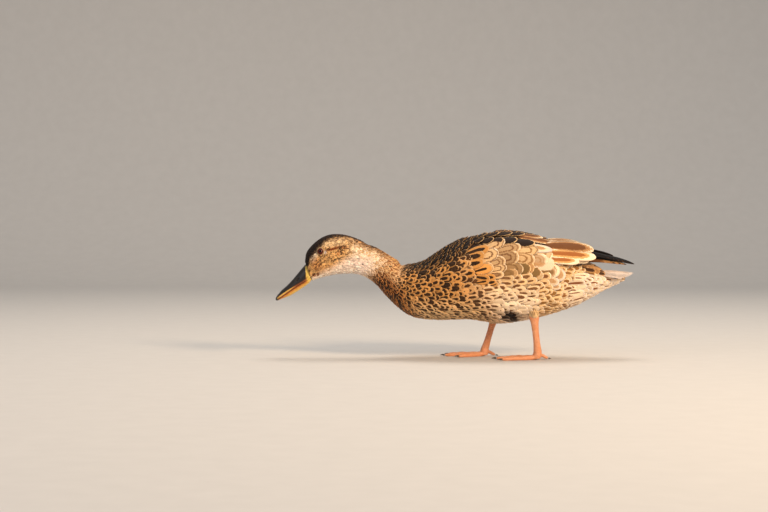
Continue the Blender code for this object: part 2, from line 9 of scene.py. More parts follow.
# %% Load the frame
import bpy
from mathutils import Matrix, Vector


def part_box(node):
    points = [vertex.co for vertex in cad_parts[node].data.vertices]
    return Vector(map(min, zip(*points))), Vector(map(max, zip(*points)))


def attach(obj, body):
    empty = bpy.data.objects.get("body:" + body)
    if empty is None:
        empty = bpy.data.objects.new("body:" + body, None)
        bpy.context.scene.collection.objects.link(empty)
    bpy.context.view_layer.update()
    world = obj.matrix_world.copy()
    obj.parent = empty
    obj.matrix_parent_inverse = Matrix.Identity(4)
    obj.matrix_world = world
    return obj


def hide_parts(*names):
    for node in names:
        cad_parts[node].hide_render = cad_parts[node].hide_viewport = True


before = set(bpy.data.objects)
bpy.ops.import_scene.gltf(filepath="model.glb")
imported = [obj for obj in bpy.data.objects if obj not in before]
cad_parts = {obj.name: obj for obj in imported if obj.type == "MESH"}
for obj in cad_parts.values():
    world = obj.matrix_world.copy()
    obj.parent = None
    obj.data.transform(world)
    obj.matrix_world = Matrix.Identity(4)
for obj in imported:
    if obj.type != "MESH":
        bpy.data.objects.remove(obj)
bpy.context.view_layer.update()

import math
from functools import partial

import bmesh
import bpy
import numpy as np
from mathutils import Vector
from mathutils.bvhtree import BVHTree
from mathutils.kdtree import KDTree

MM = 0.001
random = np.random.default_rng(20)

# %% [markdown]
# ## Helpers
#
# A material is a tree of nodes. Nodes could be placed one by one with a dozen lines each, but then the
# pattern is lost among the wiring. One function adds a node, fills its sockets and links it, so that each
# material below reads as a list of steps from a coordinate to a colour, a roughness and a height.

# %% Selection, and names for new objects
def select_only(*items):
    """Operators act on all that is selected, and the CAD nodes arrive selected."""
    bpy.ops.object.select_all(action="DESELECT")
    for item in items:
        item.select_set(True)
        bpy.context.view_layer.objects.active = item


def new_object(name, data):
    item = bpy.data.objects.new(name, data)
    bpy.context.scene.collection.objects.link(item)
    return item


select_only()
print("selected:", len(bpy.context.selected_objects))

# %% Colours and nodes
def linear(text):
    """An sRGB hex colour as the linear numbers that shaders take, and a cover of 1."""
    parts = [int(text[i:i + 2], 16) / 255 for i in (0, 2, 4)]
    return (*(c / 12.92 if c <= 0.04045 else ((c + 0.055) / 1.055) ** 2.4 for c in parts), 1.0)


def node(tree, kind, *inputs, **settings):
    """Adds a node: inputs fill its sockets in order, a capital names a socket, and the rest are settings."""
    made = tree.nodes.new("ShaderNode" + kind)
    for name, value in settings.items():
        if not name[0].isupper():
            setattr(made, name, value)
    named = {name.replace("_", " "): value for name, value in settings.items() if name[0].isupper()}
    for key, value in [*enumerate(inputs), *named.items()]:
        if isinstance(value, bpy.types.Node):
            value = value.outputs[0]
        if isinstance(value, bpy.types.NodeSocket):
            tree.links.new(value, made.inputs[key])
        elif value is not None:
            made.inputs[key].default_value = value
    return made


def new_material(name, **settings):
    """A material, the function that adds nodes to it, and its shader with that shader's constants."""
    made = bpy.data.materials.new(name)
    made.use_nodes = True
    made.node_tree.nodes.clear()
    add = partial(node, made.node_tree)
    shader = add("BsdfPrincipled", **settings)
    add("OutputMaterial", shader)
    return made, add, shader


def wire(shader, **sockets):
    """Leads the ends of a pattern to the shader's sockets."""
    for name, end in sockets.items():
        shader.id_data.links.new(end.outputs[0], shader.inputs[name.replace("_", " ")])


print("a buff feather edge is", [round(c, 3) for c in linear("d9a86c")], "in linear light")

# %% [markdown]
# ## Floor, light and camera
#
# She stands on a plain pale sweep, a floor that curves up into a backdrop, so that no corner shows behind
# her. A plane and a wall would do, but their seam would show. The light is a broad warm key, low from the
# tail side, with a weak cool fill from the bill side, a soft lamp above and an even pale sky: her breast
# and forehead fall into soft shade, as they do on a bird in evening light. The camera stands level with
# her back, two metres away, and looks at her left side.

# %% The sweep: a plane whose back edge is spun up and extruded
SWEEP_WIDTH, SWEEP_FRONT, SWEEP_BACK, SWEEP_RADIUS, SWEEP_HEIGHT = 9.0, -3.2, 2.2, 0.9, 3.0      # metres
bpy.ops.mesh.primitive_plane_add(size=1.0, location=(0, (SWEEP_FRONT + SWEEP_BACK) / 2, 0))
sweep = bpy.context.object
sweep.name = "studio_sweep"
sweep.scale = (SWEEP_WIDTH, SWEEP_BACK - SWEEP_FRONT, 1)
bpy.ops.object.transform_apply(location=True, rotation=True, scale=True)
bpy.ops.object.mode_set(mode="EDIT")
bpy.ops.mesh.select_mode(type="VERT")
bpy.ops.mesh.select_all(action="DESELECT")
bpy.ops.object.mode_set(mode="OBJECT")
for vertex in sweep.data.vertices:
    vertex.select = vertex.co.y > SWEEP_BACK - 0.01
bpy.ops.object.mode_set(mode="EDIT")
bpy.ops.mesh.spin(steps=16, angle=-math.pi / 2, center=(0, SWEEP_BACK, SWEEP_RADIUS), axis=(1, 0, 0))
bpy.ops.mesh.extrude_region_move(TRANSFORM_OT_translate={"value": (0, 0, SWEEP_HEIGHT)})
bpy.ops.object.mode_set(mode="OBJECT")
bpy.ops.object.shade_smooth()
heights = [vertex.co.z for vertex in sweep.data.vertices]
print("sweep:", len(sweep.data.polygons), "faces, top at", round(max(heights), 2), "m")

# %% Backdrop paper: matt, and a little uneven in tone
paper, add, shader = new_material("pale_paper", Roughness=0.9)
grain = add("TexNoise", add("TexCoord").outputs["Object"], Scale=40.0)
wire(shader, Base_Color=add("MixRGB", grain.outputs[0], linear("cfcac4"), linear("d6d1cb")))
sweep.data.materials.append(paper)
print("paper on", sweep.name)

# %% Camera, lamps and sky
CAMERA_PLACE, CAMERA_DIP, LENS, SENSOR = (-0.0825, -2.1, 0.160), math.radians(1.14), 85, 36
BIRD_MIDDLE = Vector((0, 0, 0.09))
LAMPS = {          # place in metres, size, watts, colour, spread
    "key": ((1.45, -1.9, 1.15), 0.7, 19, "ffe2bd", math.radians(100)),
    "fill": ((-1.9, -1.6, 0.9), 1.6, 10, "e6eeff", math.pi),
    "top": ((0.2, 0.5, 2.1), 1.4, 24, "fff4e6", math.pi),
}
camera = new_object("camera", bpy.data.cameras.new("camera"))
camera.data.lens, camera.data.sensor_width = LENS, SENSOR
camera.location, camera.rotation_euler = CAMERA_PLACE, (math.pi / 2 - CAMERA_DIP, 0, 0)
bpy.context.scene.camera = camera
for name, (place, size, watts, colour, spread) in LAMPS.items():
    lamp = bpy.data.lights.new(name, "AREA")
    lamp.shape, lamp.size, lamp.energy, lamp.spread = "DISK", size, watts, spread
    lamp.color = linear(colour)[:3]
    item = new_object(name, lamp)
    item.location = place
    item.rotation_euler = (BIRD_MIDDLE - Vector(place)).to_track_quat("-Z", "Y").to_euler()
sky = bpy.data.worlds.new("studio")
sky.use_nodes = True
background = sky.node_tree.nodes["Background"].inputs
background["Color"].default_value, background["Strength"].default_value = linear("e9edf2"), 0.5
bpy.context.scene.world = sky
bpy.context.scene.view_settings.view_transform = "Standard"

# %% [markdown]
# ## The guide surface
#
# Every feather needs a place and a direction on the body. A UV map of the CAD nodes could give places, but
# it would be cut at each node's end. Here the body is wrapped in its own grid instead: rings stand along a
# spine from the bill's base to the tail, `s` counts millimetres along the spine and `turn` counts degrees
# round it, from the middle of the back (0) over her left side (90) to the belly (180). Rays cast from the
# spine find how far out the CAD's surface lies. One grid follows the bare core, and a second one also goes
# over the wings.

# %% The spine: x and z of each ring's middle, and how far the ring leans towards the bill
SPINE = {
    "bill base": (-170.2, 99.5, 20.5), "lores": (-163.6, 105.4, 34), "eyes": (-154.0, 111.8, 28),
    "cheeks": (-142.0, 117.0, 15), "back of head": (-128.0, 119.0, 1), "nape": (-112.0, 117.0, -15),
    "throat": (-97.5, 110.4, -30), "lower neck": (-83.0, 101.0, -34), "crop": (-66.0, 90.0, -26),
    "breast": (-44.0, 82.0, -12), "shoulders": (-16.0, 83.0, 3), "mantle": (14.0, 89.5, 6),
    "back": (48.0, 94.5, 3), "flanks": (82.0, 96.0, 0), "rump front": (112.0, 96.0, -3),
    "rump": (138.0, 95.0, -6), "tail coverts": (160.0, 92.6, -8), "undertail": (185.0, 90.8, 0),
    "undertail tip": (196.6, 92.6, 0),
}
GUIDE_STEP, TURN_STEP = 2.0, 3.0         # mm and degrees


def smoothed(values, width, wrap=False):
    """A Gaussian blur along the first axis, which runs round where it wraps and keeps its ends where not."""
    reach = int(math.ceil(3 * width))
    weights = np.exp(-0.5 * (np.arange(-reach, reach + 1) / width) ** 2)
    padded = np.pad(values, [(reach, reach)] + [(0, 0)] * (values.ndim - 1), mode="wrap" if wrap else "edge")
    total = sum(w * padded[k:k + len(values)] for k, w in enumerate(weights))
    return total / weights.sum()


def measured_spine():
    """Spine points and ring directions at even steps of the spine's length."""
    rows = np.array(list(SPINE.values()))
    at = np.linspace(0, len(rows) - 1, 20 * len(rows))
    fine = np.stack([np.interp(at, range(len(rows)), rows[:, k]) for k in range(3)], axis=1)
    fine = smoothed(fine, 8.0)
    fine[0], fine[-1] = rows[0], rows[-1]
    length = np.concatenate([[0], np.cumsum(np.hypot(*np.diff(fine[:, :2], axis=0).T))])
    s = np.arange(0, length[-1], GUIDE_STEP)
    x, z, lean = (np.interp(s, length, fine[:, k]) for k in range(3))
    lean = np.radians(lean)
    return s, np.stack([x, 0 * x, z], axis=1), np.stack([-np.sin(lean), 0 * x, np.cos(lean)], axis=1)


spine_s, spine_middle, spine_up = measured_spine()
turns = np.arange(0, 360, TURN_STEP)
print("spine:", round(spine_s[-1]), "mm long,", len(spine_s), "rings")

# %% Copies of CAD nodes, as meshes with joined triangles, and trees that rays can be cast at
def joined_nodes(*nodes):
    shape = bmesh.new()
    for name in nodes:
        shape.from_mesh(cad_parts[name].data)
    return shape


def node_copy(name, *nodes):
    """One mesh object made of copies of CAD nodes, their loose triangles merged."""
    shape = joined_nodes(*nodes)
    bmesh.ops.remove_doubles(shape, verts=shape.verts, dist=0.00001)
    mesh = bpy.data.meshes.new(name)
    shape.to_mesh(mesh)
    shape.free()
    return new_object(name, mesh)


def tree_of(*nodes):
    """A ray-casting tree over CAD nodes, in millimetres."""
    shape = joined_nodes(*nodes)
    bmesh.ops.scale(shape, vec=(1 / MM,) * 3, verts=shape.verts)
    tree = BVHTree.FromBMesh(shape)
    shape.free()
    return tree


CORE = ("head", "neck", "breast", "trunk", "rump")
core_tree, hull_tree = tree_of(*CORE), tree_of(*CORE, "wing_l", "wing_r")
print("core and hull trees are ready")

# %% Distances from the spine, with the facets and the cuts between the nodes smoothed away
FAR_OUT = 120.0          # mm, outside the body everywhere


def ring_directions(k):
    """The directions in which ring k is cast: 0 is up, and 90 is her left."""
    angle = np.radians(turns)[:, None]
    return np.cos(angle) * spine_up[k] + np.sin(angle) * np.array([0.0, -1.0, 0.0])


def cast_grid(tree, inward):
    """The distance from the spine to the surface, along the spine and round it."""
    reach = np.full((len(spine_s), len(turns)), np.nan)
    for k, middle in enumerate(spine_middle):
        for j, way in enumerate(ring_directions(k)):
            start, cast = (middle + way * FAR_OUT, -way) if inward else (middle, way)
            hit = tree.ray_cast(Vector(start), Vector(cast))[0]
            if hit is not None:
                reach[k, j] = np.linalg.norm(np.array(hit) - middle)
        known = ~np.isnan(reach[k])
        if known.any():
            reach[k] = np.interp(turns, turns[known], reach[k][known], period=360)
    full = np.flatnonzero(~np.isnan(reach[:, 0]))
    nearest = full[np.abs(np.arange(len(reach))[:, None] - full).argmin(axis=1)]
    return reach[nearest]


def closed(values, steps):
    """Fills grooves narrower than some steps round the ring."""
    shifts = range(-steps, steps + 1)
    wide = np.max([np.roll(values, k, axis=1) for k in shifts], axis=0)
    return np.min([np.roll(wide, k, axis=1) for k in shifts], axis=0)


def settled(reach, along, around):
    return smoothed(smoothed(reach.T, around, wrap=True).T, along)


core_reach = settled(cast_grid(core_tree, inward=False), 1.2, 2.0)
hull_reach = settled(closed(cast_grid(hull_tree, inward=True), 5), 1.6, 2.2)
bare, winged = (round(reach[:, len(turns) // 4].max(), 1) for reach in (core_reach, hull_reach))
print("half width:", bare, "mm bare,", winged, "mm with wings")

# %% The grid as a surface: places, normals, and the change of place with each coordinate
SLOPE_S, SLOPE_TURN = 2.5, 4.0           # mm and degrees to each side, over which slopes are measured


def unit(vectors):
    return vectors / np.linalg.norm(vectors, axis=-1, keepdims=True)


class Guide:
    """A surface over the body that is read at any s and turn."""

    def __init__(self, reach):
        ways = np.stack([ring_directions(k) for k in range(len(spine_s))])
        self.grid = spine_middle[:, None, :] + reach[:, :, None] * ways
        self.grid = np.concatenate([self.grid, self.grid[:, :1]], axis=1)

    def place(self, s, turn):
        i = np.clip(np.asarray(s) / GUIDE_STEP, 0, len(spine_s) - 1.0001)
        j = np.mod(turn, 360) / TURN_STEP
        i0, j0 = i.astype(int), np.minimum(j.astype(int), len(turns) - 1)
        a, b = (i - i0)[..., None], (j - j0)[..., None]
        low = self.grid[i0, j0] * (1 - b) + self.grid[i0, j0 + 1] * b
        high = self.grid[i0 + 1, j0] * (1 - b) + self.grid[i0 + 1, j0 + 1] * b
        return low * (1 - a) + high * a

    def slopes(self, s, turn):
        """How the place changes with each millimetre of s and each degree of turn, and the outward normal."""
        s = np.clip(s, SLOPE_S, spine_s[-1] - SLOPE_S)
        by_s = (self.place(s + SLOPE_S, turn) - self.place(s - SLOPE_S, turn)) / (2 * SLOPE_S)
        by_turn = (self.place(s, turn + SLOPE_TURN) - self.place(s, turn - SLOPE_TURN)) / (2 * SLOPE_TURN)
        return by_s, by_turn, unit(np.cross(by_turn, by_s))


ON_WING_END, OFF_WING_START = 104.0, 134.0     # x between which the coat leaves the wings for the rump
share = np.clip((OFF_WING_START - spine_middle[:, 0]) / (OFF_WING_START - ON_WING_END), 0, 1)[:, None]
core_guide, coat_guide = Guide(core_reach), Guide(core_reach + (hull_reach - core_reach) * share)
flat = coat_guide.place(np.array([200.0, 200.0]), np.array([0.0, 90.0]))
print("over the back and at the left:", flat.round(1).tolist())
print("normal at the left:", coat_guide.slopes(200.0, 90.0)[2].round(2))

# %% [markdown]
# ## One feather
#
# A contour feather is a leaf: a quill that sinks into the skin, a vane that widens, and a rounded tip. Hair
# particles or flat cards would be quicker to place, but a card shows its edge and particles are lost when
# the model is exported. Each vane here is a thin closed solid instead, with a grid of faces on top and a
# plain strip underneath that share one outline. One pattern of corners is worked out for each size of
# feather, and arrays bend all its copies over the guide at once: the root lies deep, the tip lies on the
# outer form, so a feather further forward always covers the root of the one behind it.

# %% The pattern of a vane's corners and faces
class Vane:
    """u runs from root to tip and v across, both as shares; the last corners lie under the middle line."""

    def __init__(self, rows, columns, shoulder=0.55, bluntness=2.0, root=0.4):
        self.shoulder, self.bluntness, self.root = shoulder, bluntness, root
        row_u = 1 - (1 - np.linspace(0.0, 1.0, rows + 2)[1:-1]) ** 1.5
        self.u = np.concatenate([[0.0], np.repeat(row_u, columns), [1.0], row_u])
        self.v = np.concatenate([[0.0], np.tile(np.linspace(-1, 1, columns), rows), [0.0], np.zeros(rows)])
        self.under = np.arange(len(self.u)) > rows * columns + 1
        tip, low, last = rows * columns + 1, rows * columns + 2, columns - 1
        top = lambda i, j: 1 + i * columns + j
        self.faces = []
        for j in range(last):
            self.faces.append((0, top(0, j), top(0, j + 1)))
            self.faces.append((tip, top(rows - 1, j + 1), top(rows - 1, j)))
            for i in range(rows - 1):
                self.faces.append((top(i, j), top(i + 1, j), top(i + 1, j + 1), top(i, j + 1)))
        for edge in (0, last):
            ends = [(0, low, top(0, edge)), (tip, top(rows - 1, edge), low + rows - 1)]
            sides = [(top(i, edge), low + i, low + i + 1, top(i + 1, edge)) for i in range(rows - 1)]
            self.faces += [face[::-1] if edge else face for face in ends + sides]

    def edge(self):
        """How far each corner lies to the side, 1 at the widest place of the outline."""
        rise = self.root + (1 - self.root) * np.sin(np.pi / 2 * np.minimum(self.u / self.shoulder, 1))
        end = np.clip((self.u - self.shoulder) / (1 - self.shoulder), 0, 1) ** self.bluntness
        return self.v * (rise * np.sqrt(np.clip(1 - end, 0, 1)))


TINY, SMALL, MEDIUM, BROAD = Vane(3, 5), Vane(4, 5), Vane(6, 7), Vane(8, 9)
LONG = Vane(12, 9, shoulder=0.72, root=0.62)
POINTED = Vane(12, 7, shoulder=0.42, bluntness=1.5, root=0.7)
TAIL = Vane(12, 9, shoulder=0.6, bluntness=1.5, root=0.6)
print("faces of a vane:", [len(vane.faces) for vane in (TINY, SMALL, MEDIUM, BROAD, LONG, POINTED, TAIL)])

# %% Bending many vanes over the guide at once
def steps_on(guide, s, turn, shift):
    """The change of s and turn that moves a place on the guide by a small vector along its surface."""
    by_s, by_turn, _ = guide.slopes(s, turn)
    ss, st, tt = (by_s * by_s).sum(-1), (by_s * by_turn).sum(-1), (by_turn * by_turn).sum(-1)
    a, b = (by_s * shift).sum(-1), (by_turn * shift).sum(-1)
    room = np.maximum(ss * tt - st * st, 1e-9)
    return (a * tt - b * st) / room, (b * ss - a * st) / room


def lay(guide, vane, s, turn, length, width, down=0.0, sink=2.0, lift=0.3, cup=0.22, roll=0.0, raise_by=0.0,
        thick=0.25, ragged=0.05):
    """Corner places of many feathers, an array of feathers by corners by 3, with their own sizes.

    down is the angle in degrees by which a feather leans from the spine's run towards the belly, sink is how
    deep its root lies, lift how far its tip stands out, cup how much its edges fall, roll its turn on its
    shaft, and raise_by how far out all of it is moved.
    """
    count = len(s)
    given = (length, width, down, sink, lift, roll, raise_by)
    length, width, down, sink, lift, roll, raise_by = (np.broadcast_to(value, count) for value in given)
    lean = np.radians(down) * np.where(np.mod(turn, 360) < 180, 1.0, -1.0)
    stations, where = np.unique(vane.u, return_inverse=True)
    s, turn = s.astype(float), turn.astype(float)
    mid_s, mid_turn, last = [s], [turn], 0.0
    for u in stations[1:]:
        by_s, _, normal = guide.slopes(s, turn)
        ahead = unit(by_s)
        along = ahead * np.cos(lean)[:, None] - np.cross(normal, ahead) * np.sin(lean)[:, None]
        ds, dt = steps_on(guide, s, turn, along * (length * (u - last))[:, None])
        s, turn, last = s + ds, turn + dt, u
        mid_s.append(s)
        mid_turn.append(turn)
    s_rows, turn_rows = np.stack(mid_s, 1)[:, where], np.stack(mid_turn, 1)[:, where]
    by_s, _, normal = guide.slopes(s_rows, turn_rows)
    ahead = unit(by_s)
    across = np.cross(normal, ahead) * np.cos(lean)[:, None, None] + ahead * np.sin(lean)[:, None, None]
    edge = vane.edge()
    aside = edge * (1 + ragged * random.standard_normal((count, len(vane.u)))) * (width / 2)[:, None]
    ds, dt = steps_on(guide, s_rows, turn_rows, across * aside[..., None])
    s_rows, turn_rows = s_rows + ds, turn_rows + dt
    _, _, normal = guide.slopes(s_rows, turn_rows)
    rise = raise_by[:, None] - sink[:, None] * (1 - vane.u) + lift[:, None] * vane.u**2
    rise = rise - cup * (width / 2)[:, None] * edge**2 + np.tan(roll)[:, None] * aside - vane.under * thick
    return guide.place(s_rows, turn_rows) + normal * rise[..., None]


CELL_S, CELL_TURN, TRIES = 1.0, 2.0, 9     # cells for drawing roots, mm by degrees; draws for each root


def scattered(guide, spacing, s_range, turn_range):
    """Roots strewn evenly at random: none is closer to another than the spacing at its place."""
    s, turn = np.meshgrid(np.arange(*s_range, CELL_S), np.arange(*turn_range, CELL_TURN), indexing="ij")
    s, turn = s.ravel(), turn.ravel()
    by_s, by_turn, _ = guide.slopes(s, turn)
    area = np.linalg.norm(np.cross(by_s, by_turn), axis=1) * CELL_S * CELL_TURN
    weight = area / spacing(guide.place(s, turn)) ** 2
    pick = random.choice(len(s), int(weight.sum() * TRIES), p=weight / weight.sum())
    s, turn = s[pick] + CELL_S * random.random(len(pick)), turn[pick] + CELL_TURN * random.random(len(pick))
    places = guide.place(s, turn)
    gap = spacing(places)
    tree = KDTree(len(pick))
    for k, place in enumerate(places):
        tree.insert(place, k)
    tree.balance()
    free, kept = np.ones(len(pick), bool), []
    for k in range(len(pick)):
        if free[k]:
            kept.append(k)
            for _, other, _ in tree.find_range(places[k], gap[k]):
                free[other] = False
    return s[kept], turn[kept]


trial_s, trial_turn = scattered(coat_guide, lambda place: np.full(len(place), 6.0), (150, 250), (0, 360))
trial = lay(coat_guide, SMALL, trial_s, trial_turn, 14.0, 9.0)
heights = trial[..., 2].round(1)
print(len(trial_s), "trial feathers, heights", heights.min(), "to", heights.max())


# %% [markdown]
# ## The markings
#
# A hen mallard is brown and buff all over, but no two tracts of her coat are marked alike: a dark cap and a
# dusky line through the eye, fine streaks on a golden cheek, a bare-looking pale throat, a breast of small
# dark crescents, near-black feathers with thin pale edges on the back, and broad feathers with arcs inside
# arcs on the flank. A painted image could hold this, but it would be one more file and would blur close up.
# Here each tract is a soft shape on the body that sets the colours and the drawing of the feathers rooted
# in it: `ground` is the feather's own colour, `mark` its dark drawing, `edge` its rim. The skin below takes
# the same colours.

# %% Soft shapes
def rising(value, low, high):
    """0 below low, 1 above high, and smooth between."""
    t = np.clip((value - low) / (high - low), 0, 1)
    return t * t * (3 - 2 * t)


def patch(x, z, middle, radii, tilt=0.0, soft=0.35):
    """1 inside an ellipse seen from the side, 0 outside; tilt, in degrees, lifts its end near the tail."""
    tilt = math.radians(tilt)
    dx, dz = x - middle[0], z - middle[1]
    a, b = dx * math.cos(tilt) + dz * math.sin(tilt), dz * math.cos(tilt) - dx * math.sin(tilt)
    return 1 - rising(np.hypot(a / radii[0], b / radii[1]), 1 - soft, 1 + soft)


probe = patch(np.array([0, 5, 9.0]), np.zeros(3), (0, 0), (5, 5))
print("an ellipse at its middle, edge and outside:", probe)

# %% The tracts, from the belly to the cap
COLOURS = {
    "buff": "cf9a5c", "gold": "c98b48", "cream": "ecd2b0", "pale": "f0dccb", "pink": "f0d2c0",
    "rufous": "a9622c", "rust": "7c3d17", "brown": "6d4222", "umber": "3d2413", "dark": "22140b",
    "black": "0b0705", "tan": "b08050", "straw": "deb683", "olive": "7f6238", "bronze": "8f6230",
}
COLOURS = {name: np.array(linear(text)[:3]) for name, text in COLOURS.items()}
CAP = ((0, 66), (9, 44), (20, 33), (33, 21), (48, 15), (64, 14), (80, 13), (100, 12))   # s, degrees to a side


class Markings:
    """Colours and drawing for places on the body; each tract is laid over the earlier ones."""

    def __init__(self, count):
        self.value = {name: np.zeros((count, 3)) for name in ("ground", "mark", "edge")}
        self.value |= {name: np.zeros(count) for name in ("bands", "size", "narrow", "rim")}

    def lay(self, where, **values):
        for name, value in values.items():
            new = COLOURS[value] if isinstance(value, str) else value
            old = self.value[name]
            share = where[:, None] if old.ndim == 2 else where
            self.value[name] = old + (new - old) * share


def markings_at(place, s, turn):
    """The markings of feathers whose visible middles lie at these places."""
    x, z = place[:, 0], place[:, 2]
    fold = np.minimum(np.mod(turn, 360), 360 - np.mod(turn, 360))
    made = Markings(len(x))
    everywhere = np.ones(len(x))
    made.lay(everywhere, ground="straw", mark="brown", edge="cream", size=0.62, narrow=1.3, rim=0.10)

    # Belly and vent: pale, with a small dash on each feather.
    low = rising(fold, 88, 128)
    made.lay(low, ground="cream", mark="brown", edge="pale", size=0.40, narrow=2.2, rim=0.14)
    # Breast: rufous gold with a dark crescent on each feather, darkest in front and above.
    breast = rising(x, -100, -72) * (1 - rising(x + 0.45 * (z - 60), 8, 62))
    made.lay(breast, ground="gold", mark="dark", edge="straw", size=0.62, narrow=1.2, rim=0.08)
    made.lay(breast * (1 - rising(fold, 30, 100)), ground="gold", mark="black", edge="buff", size=0.84)
    keel = breast * rising(fold, 95, 135) * rising(x, -62, -30)
    made.lay(keel, ground="straw", mark="umber", size=0.52, narrow=1.4)
    low_front = breast * rising(fold, 120, 165) * (1 - rising(x, -60, -30))
    made.lay(low_front, ground="rufous", mark="dark", size=0.66)
    # Mantle and back: near-black feathers with thin edges of ochre.
    back = (1 - rising(fold, 42, 66)) * rising(x, -78, -52)
    made.lay(back, ground="umber", mark="black", edge="buff", size=0.90, narrow=1.0, rim=0.09)
    # A painted shadow: near-black feathers low on the belly by the thigh, where shade falls between the belly
    # and the leg.
    shade = patch(x, z, (64, 49), (11, 6), tilt=-25, soft=0.5) * rising(fold, 100, 120)
    made.lay(shade, ground="dark", mark="black", edge="umber", size=0.8)
    made.lay(back * rising(x, 10, 60), ground="brown", mark="dark", edge="straw", size=0.80, rim=0.12)
    # Rump and the tail's upper coverts: dark, edged with rufous buff.
    rump = rising(x, 128, 146) * (1 - rising(fold, 48, 78))
    made.lay(rump, ground="rufous", mark="umber", edge="buff", size=0.74, narrow=1.25, rim=0.14)
    side = rising(x, 84, 104) * rising(fold, 48, 70)
    made.lay(side, ground="straw", mark="bronze", edge="cream", size=0.58, narrow=1.7, rim=0.16)
    # Sides of the rump and the undertail coverts: cream with a dark streak down each feather.
    under = rising(x, 112, 140) * rising(fold, 84, 118)
    made.lay(under, ground="cream", mark="rust", edge="pale", size=0.66, narrow=2.3, rim=0.18)

    # Neck: pale at the throat, fine streaks, darker behind and towards the breast.
    neck = rising(s, 44, 60) * (1 - rising(s, 96, 124))
    made.lay(neck, ground="cream", mark="buff", edge="pale", size=0.66, narrow=1.9, rim=0.16)
    made.lay(neck * (1 - rising(fold, 22, 62)), ground="tan", mark="umber", edge="buff", size=0.78)
    made.lay(neck * rising(s, 78, 104), ground="buff", mark="rust", edge="straw", size=0.62, narrow=1.6)
    # Front of the breast under the neck: partly her own rufous with dark marks, partly painted shade, darker
    # where the front turns away from the light.
    front = patch(x, z, (-78, 77), (26, 13), tilt=-47, soft=0.5)
    made.lay(front, ground="rufous", mark="dark", edge="buff", size=0.80, narrow=1.2, rim=0.10)
    # Head: golden cheeks, paler above the eye, pale throat.
    head = 1 - rising(s, 44, 60)
    made.lay(head, ground="buff", mark="umber", edge="straw", size=0.62, narrow=1.8, rim=0.16)
    brow = patch(x, z, (-141, 134), (17, 5.0), tilt=8)
    made.lay(head * brow, ground="straw", mark="brown", edge="cream", size=0.5)
    made.lay(head * patch(x, z, (-150, 104), (15, 5), tilt=-8), ground="buff", mark="rust", edge="straw")
    lore = head * patch(x, z, (-163, 120), (4, 8), tilt=-20, soft=0.6)
    made.lay(lore, ground="cream", mark="brown", edge="cream")
    smudge = 0.45 * patch(x, z, (-161, 110), (6, 7), tilt=30)
    made.lay(smudge, ground="rufous", mark="umber", edge="tan", size=0.7)
    behind_eye = patch(x, z, (-150.3, 122.8), (1.6, 2.2), soft=0.6)
    made.lay(behind_eye, ground="pale", mark="straw", edge="pale", size=0.3)
    throat = patch(x, z, (-118, 104), (22, 12.5), tilt=18, soft=0.5)
    made.lay(throat, ground="pink", mark="cream", edge="pale", size=0.3, narrow=2.2, rim=0.2)
    chin = rising(fold, 112, 150) * (1 - rising(s, 60, 86))
    made.lay(chin, ground="pale", mark="straw", edge="pale", size=0.35)
    chin_spots = np.maximum(patch(x, z, (-163.2, 96.4), (2.3, 1.8)), patch(x, z, (-158.6, 97.4), (1.5, 2.3)))
    made.lay(0.9 * chin_spots, ground="rust", mark="umber", edge="rufous", size=0.8)
    # The dusky line from behind the eye, and the smudge below its end.
    line = patch(x, z, (-141.5, 126.6), (8.5, 1.5), tilt=13, soft=0.45)
    line = np.maximum(line, 0.8 * patch(x, z, (-130, 128.4), (8.0, 1.3), tilt=-6, soft=0.5))
    made.lay(line, ground="rust", mark="umber", edge="rust", size=0.9)
    made.lay(0.7 * patch(x, z, (-133.4, 122), (3.6, 2.6), tilt=20, soft=0.5), ground="rufous", mark="umber")
    # The cap, from the bill over the crown and down the nape.
    half = np.interp(s, *zip(*CAP))
    cap = (1 - rising(fold, half - 8, half + 13)) * (1 - rising(s, 60, 90))
    made.lay(cap, ground="umber", mark="black", edge="brown", size=0.9, narrow=1.2, rim=0.08)
    made.lay(cap * (1 - rising(s, 26, 46)), ground="dark", mark="black", edge="umber")
    return made.value


probe_s, probe_turn = np.array([30.0, 30.0, 230.0]), np.array([5.0, 90.0, 90.0])
probe = markings_at(coat_guide.place(probe_s, probe_turn), probe_s, probe_turn)
print("ground of cap, cheek and flank:", probe["ground"].round(3).tolist())

# %% [markdown]
# ## The finish of a feather
#
# Feathers are keratin: matt to satin, with a faint sheen where the barbs lie parallel. The drawing of each
# feather is worked out in the shader from its own coordinates, so it is as sharp close up as far away: `q`
# grows from 0 at the vane's heart to 1 at its outline, a dark blot fills the feather up to some q, arcs are
# narrow ranges of q, and the rim is what lies near 1. Barbs run out and forward from the shaft, 0.4 mm
# apart here, a little coarser than real ones so that they show.

# %% Feather keratin
SHOULDER, BARB_GAP = 0.55, 0.4           # share of the length where a vane starts to round off; mm
BLOT_EDGE, ARC_EDGE, RIM_EDGE = 9.0, 11.0, 12.0       # how sharply blots, arcs and rims end


